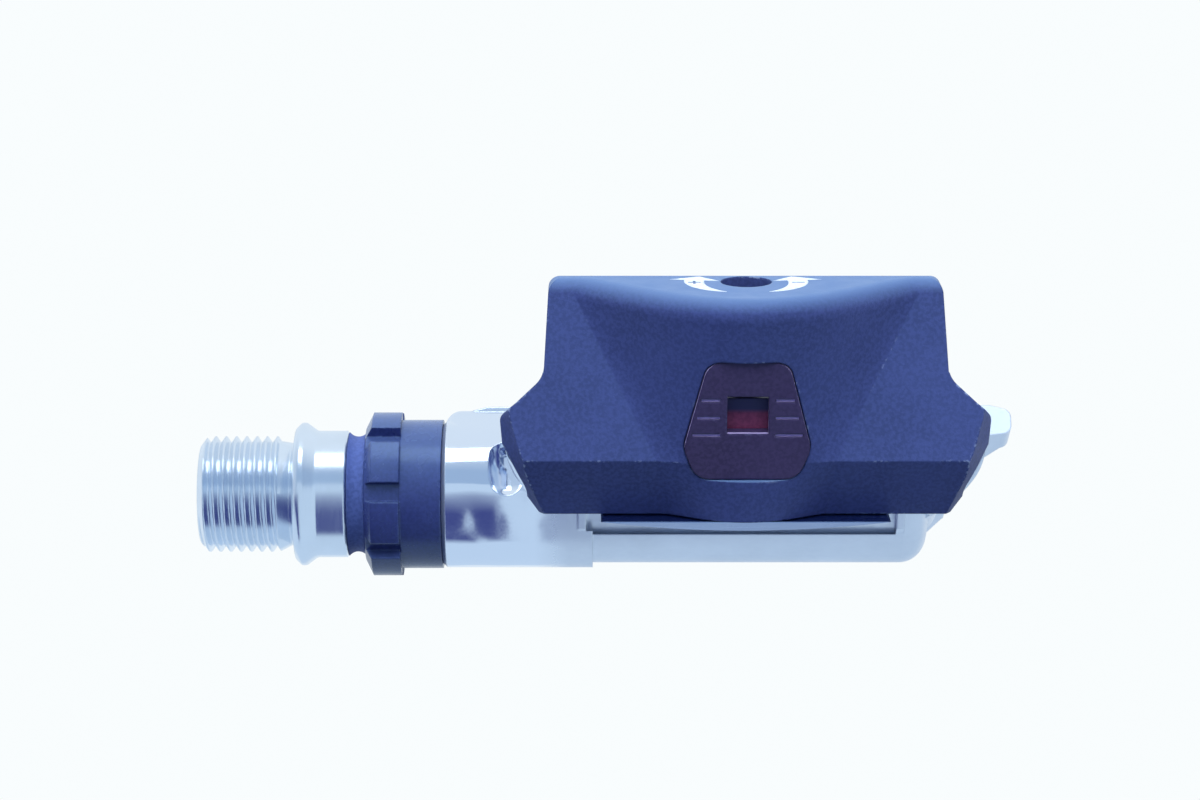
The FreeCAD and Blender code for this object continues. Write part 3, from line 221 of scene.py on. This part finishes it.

# Insert in the claw: its outward direction, how far out its face lies, and the depths of its ticks, whose
# groove walls get a painted highlight
INSERT_NORMAL = (0, -0.657, -0.7539)
INSERT_FACE = 21.003 * MM
TICK_EDGE = 0.1 * MM
TICK_DEPTH = 0.25 * MM
TICK_LIMIT = 0.4 * MM
TICK_LIMIT_FADE = 0.05 * MM
TICK_HIGHLIGHT = (0.62, 0.52, 0.90, 1)

# Flag behind the window: height of the line between its painted shade and its red part; the painted shade
# darkens its upper part, which lies in shade under the window's top
FLAG_SPLIT = -1.15 * MM
FLAG_BLEND = 0.2 * MM
FLAG_PAINTED_SHADE = (0.065, 0.06, 0.17, 1)

# Crank thread
PITCH = 1.27 * MM
THREAD_R = 7.14 * MM
THREAD_ROOT_R = 6.42 * MM
THREAD_START = -5.1 * MM
THREAD_END = 4.7 * MM
FLANK_SLOPE = 2.6
ROOT_FLAT = 0.15
LEAD_R = 6.1 * MM
LEAD_LENGTH = 0.8 * MM
RUN_OUT = 0.6 * MM
RUN_OUT_SLOPE = 1.2
ROWS_PER_PITCH = 16
RING_STEPS = 144

# Hexagon socket in the crank end
HEX_ACROSS = 8.0 * MM
HEX_DEPTH = 9.0 * MM
SOCKET_BEVEL = 0.25 * MM

# Spindle behind the thread
RELIEF_R = 6.3 * MM
RELIEF_FILLET = 0.4 * MM
RELIEF_FILLET_LENGTH = 0.5 * MM
SHOULDER_X = 6.6 * MM
COLLAR_R = 7.8 * MM
COLLAR_END = 13.1 * MM
COLLAR_BEVEL = 0.2 * MM
COLLAR_BEVEL_LENGTH = 0.25 * MM
SEAL_SEAT_R = 6.0 * MM
SEAL_SEAT_END = 18.5 * MM
JOURNAL_R = 4.6 * MM
JOURNAL_END = 45.0 * MM
RACE_R = 4.1 * MM
RACE_START = 45.5 * MM
RACE_END = 51.8 * MM
RACE_GROOVE = (52.2 * MM, 3.5 * MM)
SHAFT_R = 3.1 * MM
SHAFT_START = 53.0 * MM
SHAFT_BEVEL = 0.4 * MM
SPINDLE_SMOOTH = math.radians(28)

# Outline of the flange with its softened corners: places behind the shoulder, and radii
FLANGE_OUTLINE = [
    (0.0, 8.1 * MM),
    (0.15 * MM, 8.28 * MM),
    (0.6 * MM, 8.72 * MM),
    (0.75 * MM, 8.8 * MM),
    (1.2 * MM, 8.8 * MM),
    (1.35 * MM, 8.74 * MM),
    (2.5 * MM, 7.9 * MM),
    (2.8 * MM, COLLAR_R),
    (2.9 * MM, COLLAR_R),
]

# Screws of the wear plate
SCREW_TOP_R = 2.48 * MM
SCREW_RIM_R = 2.49 * MM
SCREW_RIM = 0.08 * MM
SCREW_HEAD_DEPTH = 0.8 * MM
SCREW_R = 1.5 * MM
SCREW_TIP_BEVEL = 0.3 * MM
SCREW_HEX = 2.0 * MM
SCREW_SOCKET = 1.2 * MM
SCREW_STEPS = 48
SCREW_PLACES = [(-15.5 * MM, 7.2 * MM), (15.5 * MM, 7.2 * MM), (0.0, -6.8 * MM)]
SMALL_SMOOTH = math.radians(30)

# Claw: the middle of its crest and its tilt, and the printed arrows beside the adjuster
CREST_Y = -28.0 * MM
CREST_Z = 16.0 * MM
CLAW_TILT = math.radians(39)
ADJUSTER_BACK = 3.7 * MM
PRINT_HEIGHT = 0.02 * MM
PRINT_SUNK = 0.03 * MM
ARROW_IN = 4.9 * MM
ARROW_OUT = 7.3 * MM
ARROW_MIDDLE = (ARROW_IN + ARROW_OUT) / 2
ARROW_HALF = (ARROW_OUT - ARROW_IN) / 2
ARROW_TAIL = math.radians(66)
ARROW_HEAD = math.radians(-8)
ARROW_WING = 1.7 * MM
ARROW_TIP = math.radians(-28)
ARROW_STEPS = 24
ARROW_POINT = 0.06
SIGN_ARM = 0.75 * MM
SIGN_WIDTH = 0.3 * MM
SIGN_TURN = math.radians(4)
LEFT = -1
RIGHT = 1


# Shader helpers
def new_material(name):
    made = bpy.data.materials.new(name)
    made.use_nodes = True
    tree = made.node_tree
    tree.nodes.clear()
    shader = tree.nodes.new("ShaderNodeBsdfPrincipled")
    output = tree.nodes.new("ShaderNodeOutputMaterial")
    tree.links.new(shader.outputs["BSDF"], output.inputs["Surface"])
    return made, tree, shader


def feed(tree, socket, value):
    if isinstance(value, bpy.types.NodeSocket):
        tree.links.new(value, socket)
    else:
        socket.default_value = value


def add_node(tree, kind, settings=None, sockets=None):
    made = tree.nodes.new(kind)
    for key, value in (settings or {}).items():
        setattr(made, key, value)
    for key, value in (sockets or {}).items():
        feed(tree, made.inputs[key], value)
    return made


def place(tree, stretch=(1, 1, 1)):
    coords = add_node(tree, "ShaderNodeTexCoord")
    sockets = {"Vector": coords.outputs["Object"], "Scale": stretch}
    return add_node(tree, "ShaderNodeMapping", None, sockets).outputs["Vector"]


def axes(tree, vector):
    return add_node(tree, "ShaderNodeSeparateXYZ", None, {"Vector": vector}).outputs


def noise(tree, size, detail, stretch=(1, 1, 1)):
    sockets = {"Vector": place(tree, stretch), "Scale": 1 / size, "Detail": detail}
    return add_node(tree, "ShaderNodeTexNoise", None, sockets).outputs["Fac"]


def remap(tree, value, span, result=(0, 1)):
    sockets = {
        "Value": value, "From Min": span[0], "From Max": span[1], "To Min": result[0], "To Max": result[1],
    }
    return add_node(tree, "ShaderNodeMapRange", None, sockets).outputs["Result"]


def multiply(tree, first, second):
    made = add_node(tree, "ShaderNodeMath", {"operation": "MULTIPLY"}, {0: first, 1: second})
    return made.outputs["Value"]


def larger(tree, first, second):
    made = add_node(tree, "ShaderNodeMath", {"operation": "MAXIMUM"}, {0: first, 1: second})
    return made.outputs["Value"]


def dot(tree, first, second):
    made = add_node(tree, "ShaderNodeVectorMath", {"operation": "DOT_PRODUCT"}, {0: first, 1: second})
    return made.outputs["Value"]


def mix_colour(tree, share, first, second):
    made = add_node(tree, "ShaderNodeMix", {"data_type": "RGBA"}, {"Factor": share})
    colours = [socket for socket in made.inputs if socket.type == "RGBA"]
    feed(tree, colours[0], first)
    feed(tree, colours[1], second)
    return next(socket for socket in made.outputs if socket.type == "RGBA")


def mix_shader(tree, share, first, second):
    made = add_node(tree, "ShaderNodeMixShader", None, {0: share, 1: first, 2: second})
    return made.outputs["Shader"]


def bump(tree, height, depth, normal):
    sockets = {"Height": height, "Distance": depth, "Strength": 1.0, "Normal": normal}
    return add_node(tree, "ShaderNodeBump", None, sockets).outputs["Normal"]


def soft_edges(tree, radius):
    made = add_node(tree, "ShaderNodeBevel", {"samples": EDGE_SAMPLES}, {"Radius": radius})
    return made.outputs["Normal"]


def toned(colour, factor):
    return [min(1, channel * factor) for channel in colour[:3]] + [1]


# Share from 0 on flat faces to 1 on scuffed stretches of edges that rub
def rubbed_edges(tree):
    geometry = add_node(tree, "ShaderNodeNewGeometry")
    facing = dot(tree, soft_edges(tree, RUB_RADIUS), geometry.outputs["Normal"])
    edges = remap(tree, facing, (1 - RUB_SHARPNESS, 1), (1, 0))
    scuffs = remap(tree, noise(tree, SCUFF_SIZE, DETAIL_CRISP), SCUFF_RANGE)
    areas = remap(tree, noise(tree, SCUFF_AREA, DETAIL_SOFT), SCUFF_AREA_RANGE)
    return multiply(tree, edges, multiply(tree, scuffs, areas))


# Share from 0 on faces turned down or to the side, to 1 on faces turned up; it places the painted
# highlight
def turned_up(tree):
    coords = add_node(tree, "ShaderNodeTexCoord")
    return remap(tree, axes(tree, coords.outputs["Normal"])["Z"], PAINTED_HIGHLIGHT_FACING)


# Plastics
def plastic_look(name, colour, worn, roughness, grain, grain_depth, wear, gloss=PLASTIC_GLOSS, painted_highlight=0.0):
    made, tree, shader = new_material(name)
    shader.inputs["Specular IOR Level"].default_value = gloss
    shader.inputs["Specular Tint"].default_value = SHEEN
    clouds = remap(tree, noise(tree, CLOUD_SIZE, DETAIL_FINE), CLOUD_RANGE)
    shade = mix_colour(tree, clouds, toned(colour, CLOUD_TONE), colour)
    speckle = remap(tree, noise(tree, SPECKLE_SIZE, DETAIL_FINE), SPECKLE_RANGE, (0, SPECKLE_SHARE))
    shade = mix_colour(tree, speckle, shade, toned(colour, SPECKLE_TONE))
    # Painted highlight: faces turned up are made paler, as if lit from above
    if painted_highlight:
        shade = mix_colour(tree, multiply(tree, turned_up(tree), painted_highlight), shade, PAINTED_HIGHLIGHT)
    shade = mix_colour(tree, multiply(tree, rubbed_edges(tree), wear), shade, worn)
    tree.links.new(shade, shader.inputs["Base Color"])
    patches = noise(tree, PATCH_SIZE, DETAIL_FINE)
    rough = remap(tree, patches, BROAD_RANGE, (roughness - PATCH_SWING, roughness + PATCH_SWING))
    tree.links.new(rough, shader.inputs["Roughness"])
    normal = bump(tree, noise(tree, grain, DETAIL_SOFT), grain_depth, soft_edges(tree, PLASTIC_EDGE))
    tree.links.new(normal, shader.inputs["Normal"])
    return made


# Second colour over part of a material
def tint(made, share, colour):
    tree = made.node_tree
    shader = next(node for node in tree.nodes if node.type == "BSDF_PRINCIPLED")
    shade = shader.inputs["Base Color"].links[0].from_socket
    tree.links.new(mix_colour(tree, share, shade, colour), shader.inputs["Base Color"])


# Painted highlight on the sunk ticks of the insert, paler than its face as if their groove walls caught
# the light
def paint_tick_highlight(made):
    tree = made.node_tree
    outward = dot(tree, place(tree), INSERT_NORMAL)
    deepest = INSERT_FACE - TICK_LIMIT
    sunk = remap(tree, outward, (INSERT_FACE - TICK_DEPTH, INSERT_FACE - TICK_EDGE), (1, 0))
    near = remap(tree, outward, (deepest - TICK_LIMIT_FADE, deepest))
    tint(made, multiply(tree, sunk, near), TICK_HIGHLIGHT)


# Painted shade on the upper part of the red flag, where the window's top shades it
def paint_flag_shade(made):
    tree = made.node_tree
    height = axes(tree, place(tree))["Z"]
    tint(made, remap(tree, height, (FLAG_SPLIT - FLAG_BLEND, FLAG_SPLIT + FLAG_BLEND)), FLAG_PAINTED_SHADE)


# Metals
def cloudy(tree, colour):
    clouds = remap(tree, noise(tree, METAL_CLOUD, DETAIL_FINE), BROAD_RANGE)
    return mix_colour(tree, clouds, toned(colour, METAL_TONE), colour)


def scratched(tree, lines, roughness):
    swing = roughness * SCRATCH_SWING
    return remap(tree, lines, SCRATCH_RANGE, (roughness - swing, roughness + swing))


def metal_look(name, colour, roughness, scratch, depth, stretch=(1, 1, 1)):
    made, tree, shader = new_material(name)
    shader.inputs["Metallic"].default_value = 1.0
    tree.links.new(cloudy(tree, colour), shader.inputs["Base Color"])
    lines = noise(tree, scratch, DETAIL_FINE, stretch)
    tree.links.new(scratched(tree, lines, roughness), shader.inputs["Roughness"])
    tree.links.new(bump(tree, lines, depth, soft_edges(tree, METAL_EDGE)), shader.inputs["Normal"])
    return made


# Share from 0 on the casting's polished neck and scoop to 1 on its satin rest
def satin_share(tree):
    position = axes(tree, place(tree))
    x, y = position["X"], position["Y"]
    past_neck = remap(tree, x, (NECK_END - NECK_FADE / 2, NECK_END + NECK_FADE / 2))
    past_scoop = remap(tree, x, (SCOOP_END, SCOOP_END + SCOOP_FADE))
    before_scoop = remap(tree, y, (SCOOP_FRONT, SCOOP_FRONT + SCOOP_FADE))
    rim = remap(tree, x, (NECK_START - NECK_RIM, NECK_START), (1, 0))
    rail = remap(tree, y, (NECK_FRONT, NECK_FRONT + NECK_FADE / 2))
    beyond = multiply(tree, past_neck, larger(tree, past_scoop, before_scoop))
    return larger(tree, larger(tree, rim, rail), beyond)


def body_look(name):
    made, tree, shader = new_material(name)
    satin = satin_share(tree)
    tree.links.new(mix_colour(tree, satin, POLISHED, cloudy(tree, SATIN)), shader.inputs["Base Color"])
    tree.links.new(remap(tree, satin, (0, 1), (1, SATIN_METAL)), shader.inputs["Metallic"])
    grain = noise(tree, CAST_GRAIN, DETAIL_FINE, CAST_STRETCH)
    finish = remap(tree, satin, (0, 1), (POLISH, 1))
    rough = multiply(tree, scratched(tree, grain, SATIN_ROUGH), finish)
    tree.links.new(rough, shader.inputs["Roughness"])
    swell = remap(tree, noise(tree, NECK_WAVE, DETAIL_SMOOTH), (0, 1), NECK_WAVE_RANGE)
    swell = multiply(tree, swell, remap(tree, satin, (0, 1), (1, 0)))
    wave = bump(tree, swell, NECK_WAVE_DEPTH, soft_edges(tree, METAL_EDGE))
    tree.links.new(bump(tree, grain, CAST_DEPTH, wave), shader.inputs["Normal"])
    return made


def build_looks():
    looks = {slot: plastic_look(f"{slot}_look", **values) for slot, values in PLASTICS.items()}
    looks.update({slot: metal_look(f"{slot}_look", **values) for slot, values in METALS.items()})
    looks["body_aluminium"] = body_look("body_aluminium_look")
    # Painted highlight on the insert's ticks, and painted shade on the upper part of the flag
    paint_tick_highlight(looks["insert_plastic"])
    paint_flag_shade(looks["indicator_plastic"])
    return looks


LOOKS = build_looks()


# Pieces
def dress_cad_nodes():
    for part in SUBPARTS:
        piece = NODES[part["node"]]
        piece.data.materials.clear()
        piece.data.materials.append(LOOKS[part["material_slot"]])


def add_object(name, data):
    made = bpy.data.objects.new(name, data)
    bpy.context.scene.collection.objects.link(made)
    return made


def new_piece(name, mesh, body, slot):
    piece = add_object(name, mesh)
    mesh.materials.append(LOOKS[slot])
    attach(piece, body)
    return piece


def finished_mesh(name, made, smooth_angle):
    bmesh.ops.recalc_face_normals(made, faces=made.faces)
    mesh = bpy.data.meshes.new(name)
    made.to_mesh(mesh)
    made.free()
    mesh.shade_smooth()
    mesh.set_sharp_from_angle(angle=smooth_angle)
    return mesh


# Radius of a hexagon socket around one turn
def hexagon_radii(across_flats, steps):
    radii = []
    for k in range(steps):
        from_flat = (math.tau * k / steps) % (math.pi / 3) - math.pi / 6
        radii.append(across_flats / 2 / math.cos(from_flat))
    return radii


# Socket from its floor to its bevelled mouth, where inward is 1 or -1 along its axis
def socket_rings(mouth, inward, depth, bevel, radii):
    return [
        [(mouth + inward * depth, r) for r in radii],
        [(mouth + inward * bevel, r) for r in radii],
        [(mouth, r + bevel) for r in radii],
    ]


# Skin through rings of (along, radius) pairs, closed at both ends
def add_rings(made, rings, to_point):
    grid = []
    for ring in rings:
        turns = [math.tau * k / len(ring) for k in range(len(ring))]
        grid.append([made.verts.new(to_point(along, r, turn)) for (along, r), turn in zip(ring, turns)])
    for near, far in zip(grid, grid[1:]):
        for k in range(len(near)):
            after = (k + 1) % len(near)
            made.faces.new((near[k], near[after], far[after], far[k]))
    made.faces.new(list(reversed(grid[0])))
    made.faces.new(grid[-1])


# Spindle with its rolled thread
def thread_radius(x, turn):
    phase = (x / PITCH - turn / math.tau) % 1.0
    flank = min(1.0, max(0.0, FLANK_SLOPE * abs(phase - 0.5) - ROOT_FLAT))
    crest = THREAD_ROOT_R + (THREAD_R - THREAD_ROOT_R) * flank
    lead = LEAD_R + (THREAD_R - LEAD_R) * min(1.0, (x - THREAD_START) / LEAD_LENGTH)
    run_out = RELIEF_R + max(0.0, THREAD_END + RUN_OUT - x) * RUN_OUT_SLOPE
    return min(crest, lead, run_out)


def thread_rings():
    rows = int((THREAD_END - THREAD_START) / PITCH * ROWS_PER_PITCH)
    rings = []
    for i in range(rows + 1):
        x = THREAD_START + (THREAD_END - THREAD_START) * i / rows
        rings.append([(x, thread_radius(x, math.tau * k / RING_STEPS)) for k in range(RING_STEPS)])
    return rings


def spindle_profile():
    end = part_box("spindle")[1].x
    return [
        (SHOULDER_X - RELIEF_FILLET_LENGTH, RELIEF_R),
        (SHOULDER_X, RELIEF_R + RELIEF_FILLET),
        *[(SHOULDER_X + along, r) for along, r in FLANGE_OUTLINE],
        (COLLAR_END - COLLAR_BEVEL_LENGTH, COLLAR_R),
        (COLLAR_END, COLLAR_R - COLLAR_BEVEL),
        (COLLAR_END, SEAL_SEAT_R),
        (SEAL_SEAT_END, SEAL_SEAT_R),
        (SEAL_SEAT_END + SEAL_SEAT_R - JOURNAL_R, JOURNAL_R),
        (JOURNAL_END, JOURNAL_R),
        (RACE_START, RACE_R),
        (RACE_END, RACE_R),
        RACE_GROOVE,
        (SHAFT_START, SHAFT_R),
        (end - SHAFT_BEVEL, SHAFT_R),
        (end, SHAFT_R - SHAFT_BEVEL),
    ]


def along_spindle(x, r, turn):
    return (x, r * math.cos(turn), r * math.sin(turn))


def add_spindle():
    socket = hexagon_radii(HEX_ACROSS, RING_STEPS)
    rings = socket_rings(THREAD_START, 1, HEX_DEPTH, SOCKET_BEVEL, socket)
    rings += thread_rings()
    rings += [[pair] * RING_STEPS for pair in spindle_profile()]
    made = bmesh.new()
    add_rings(made, rings, along_spindle)
    mesh = finished_mesh("spindle_turned", made, SPINDLE_SMOOTH)
    piece = new_piece("spindle_turned", mesh, "spindle_unit", "spindle_steel")
    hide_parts("spindle")


# Countersunk screws of the wear plate, with hexagon sockets
def upright_at(x, y):
    return lambda z, r, turn: (x + r * math.cos(turn), y + r * math.sin(turn), z)


def add_plate_screws():
    low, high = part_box("wear_plate_screws")
    socket = hexagon_radii(SCREW_HEX, SCREW_STEPS)
    rings = socket_rings(high.z, -1, SCREW_SOCKET, SOCKET_BEVEL / 2, socket)
    outline = [
        (high.z, SCREW_TOP_R),
        (high.z - SCREW_RIM, SCREW_RIM_R),
        (high.z - SCREW_HEAD_DEPTH, SCREW_R),
        (low.z + SCREW_TIP_BEVEL, SCREW_R),
        (low.z, SCREW_R - SCREW_TIP_BEVEL),
    ]
    rings += [[pair] * SCREW_STEPS for pair in outline]
    made = bmesh.new()
    for across, y in SCREW_PLACES:
        add_rings(made, rings, upright_at(PEDAL_CENTRE + across, y))
    mesh = finished_mesh("plate_screws", made, SMALL_SMOOTH)
    piece = new_piece("plate_screws", mesh, "pedal_body", "screw_steel")
    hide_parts("wear_plate_screws")


# Printed arrows on the claw's crest, with a plus and a minus
def crest_point(across, back, height):
    y = CREST_Y - back * math.cos(CLAW_TILT) - height * math.sin(CLAW_TILT)
    z = CREST_Z - back * math.sin(CLAW_TILT) + height * math.cos(CLAW_TILT)
    return (PEDAL_CENTRE + across, y, z)


# Closed thin plate on the crest from rows of (across, back), each row a left and a right edge
def print_plate(name, rows, top, slot):
    made = bmesh.new()
    layers = []
    for height in (-PRINT_SUNK, top):
        layers.append([[made.verts.new(crest_point(a, b, height)) for a, b in row] for row in rows])
    low, high = layers
    for i in range(len(rows) - 1):
        for layer in layers:
            made.faces.new((layer[i][0], layer[i][1], layer[i + 1][1], layer[i + 1][0]))
        for k in (0, 1):
            made.faces.new((low[i][k], low[i + 1][k], high[i + 1][k], high[i][k]))
    for i in (0, -1):
        made.faces.new((low[i][0], low[i][1], high[i][1], high[i][0]))
    new_piece(name, finished_mesh(name, made, SMALL_SMOOTH), "claw", slot)


def around_adjuster(side, radius, turn):
    return (side * radius * math.cos(turn), ADJUSTER_BACK + radius * math.sin(turn))


# Inner and outer edge of an arrow at one turn around the adjuster
def arrow_row(side, half_width, turn):
    return [around_adjuster(side, ARROW_MIDDLE + half_width * edge, turn) for edge in (-1, 1)]


# Arrow that bends around the adjuster and widens from its tail to its head
def add_arrow(name, side):
    rows = []
    for i in range(ARROW_STEPS + 1):
        share = i / ARROW_STEPS
        width = ARROW_POINT + (1 - ARROW_POINT) * math.sin(share * math.pi / 2)
        rows.append(arrow_row(side, ARROW_HALF * width, ARROW_TAIL + (ARROW_HEAD - ARROW_TAIL) * share))
    rows.append(arrow_row(side, ARROW_HALF + ARROW_WING, ARROW_HEAD))
    rows.append(arrow_row(side, ARROW_HALF * ARROW_POINT, ARROW_TIP))
    print_plate(name, rows, PRINT_HEIGHT, "print_ink")


# One stroke of a sign, drawn over the arrow
def add_stroke(name, side, half_across, half_back):
    x, back = around_adjuster(side, ARROW_MIDDLE, SIGN_TURN)
    rows = [[(x + dx, back + dy) for dx in (-half_across, half_across)] for dy in (-half_back, half_back)]
    print_plate(name, rows, 2 * PRINT_HEIGHT, "claw_plastic")


def add_prints():
    add_arrow("arrow_plus", LEFT)
    add_arrow("arrow_minus", RIGHT)
    add_stroke("plus_bar", LEFT, SIGN_ARM, SIGN_WIDTH / 2)
    add_stroke("plus_post", LEFT, SIGN_WIDTH / 2, SIGN_ARM)
    add_stroke("minus_bar", RIGHT, SIGN_ARM, SIGN_WIDTH / 2)


# Stage and light
def add_floor():
    mesh = bpy.data.meshes.new("floor")
    corners = [(-1, -1), (1, -1), (1, 1), (-1, 1)]
    points = [(x * FLOOR_HALF, y * FLOOR_HALF, FLOOR_Z) for x, y in corners]
    mesh.from_pydata(points, [], [(0, 1, 2, 3)])
    floor = add_object("floor", mesh)
    made, tree, shader = new_material("floor_paper")
    paper = mix_colour(tree, noise(tree, PAPER_CLOUD, DETAIL_SOFT), PAPER_DARK, PAPER_PALE)
    tree.links.new(paper, shader.inputs["Base Color"])
    shader.inputs["Roughness"].default_value = PAPER_ROUGH
    shader.inputs["Emission Color"].default_value = FLOOR_GLOW
    shader.inputs["Emission Strength"].default_value = FLOOR_GLOW_LEVEL
    shade_in_reflections(tree, shader)
    mesh.materials.append(made)


# Reflections show a dark blue patch of floor on the crank's side, and the rest of the floor pale
def shade_in_reflections(tree, shader):
    position = axes(tree, place(tree))
    beside = remap(tree, position["X"], SHADE_SIDE)
    behind = remap(tree, position["Y"], SHADE_BACK, (1, 0))
    before = remap(tree, position["Y"], SHADE_FRONT)
    share = larger(tree, beside, larger(tree, behind, before))
    tone = mix_colour(tree, share, UNDERSIDE, HORIZON)
    mirrored = add_node(tree, "ShaderNodeEmission", None, {"Color": tone, "Strength": 1.0})
    dim = add_node(tree, "ShaderNodeEmission", None, {"Color": FLOOR_FILL, "Strength": 1.0})
    path = add_node(tree, "ShaderNodeLightPath").outputs
    lit = mix_shader(tree, path["Is Glossy Ray"], dim.outputs["Emission"], mirrored.outputs["Emission"])
    seen = mix_shader(tree, path["Is Camera Ray"], lit, shader.outputs["BSDF"])
    output = next(node for node in tree.nodes if node.type == "OUTPUT_MATERIAL")
    tree.links.new(seen, output.inputs["Surface"])


def backdrop(tree, colour, level=1.0):
    made = add_node(tree, "ShaderNodeBackground", None, {"Color": colour, "Strength": level})
    return made.outputs["Background"]


# White backdrop for the camera, a soft blue fill, and a dim side behind the camera in reflections
def add_world():
    world = bpy.data.worlds.new("studio")
    bpy.context.scene.world = world
    world.use_nodes = True
    tree = world.node_tree
    tree.nodes.clear()
    coords = add_node(tree, "ShaderNodeTexCoord")
    facing = axes(tree, coords.outputs["Generated"])
    ahead = remap(tree, facing["Y"], SKY_AHEAD)
    above = remap(tree, facing["Z"], SKY_ABOVE)
    tone = mix_colour(tree, larger(tree, ahead, above), REAR_TONE, SKY)
    path = add_node(tree, "ShaderNodeLightPath").outputs
    fill = backdrop(tree, AMBIENT, AMBIENT_LEVEL)
    lit = mix_shader(tree, path["Is Glossy Ray"], fill, backdrop(tree, tone))
    seen = mix_shader(tree, path["Is Camera Ray"], lit, backdrop(tree, WHITE))
    output = add_node(tree, "ShaderNodeOutputWorld")
    tree.links.new(seen, output.inputs["Surface"])


def turn_to(piece, direction):
    piece.rotation_mode = "QUATERNION"
    piece.rotation_quaternion = direction.to_track_quat("-Z", "Y")


# Soft lamp; one that is hidden from reflections only lights what it shines on
def add_softbox(name, at, aim, sides, power, mirrored):
    data = bpy.data.lights.new(name, "AREA")
    data.energy = power
    data.shape = "RECTANGLE"
    data.size, data.size_y = sides
    data.color = LAMP_COLOUR
    lamp = add_object(name, data)
    lamp.location = at
    turn_to(lamp, Vector(aim) - Vector(at))
    lamp.visible_glossy = mirrored


def add_lamps():
    for name, values in LAMPS.items():
        add_softbox(name, **values)


def add_camera():
    data = bpy.data.cameras.new("camera")
    data.lens = LENS
    data.sensor_width = SENSOR
    data.clip_start = CAMERA_CLIP
    camera = add_object("camera", data)
    forward = Vector((0, math.cos(CAMERA_PITCH), math.sin(CAMERA_PITCH)))
    upward = Vector((0, -math.sin(CAMERA_PITCH), math.cos(CAMERA_PITCH)))
    camera.location = Vector((CAMERA_X, 0, 0)) - forward * CAMERA_DISTANCE + upward * SPINDLE_BELOW_AXIS
    turn_to(camera, forward)
    bpy.context.scene.camera = camera


bpy.context.scene.view_settings.view_transform = "Standard"
dress_cad_nodes()
add_spindle()
add_plate_screws()
add_prints()
add_floor()
add_world()
add_lamps()
add_camera()
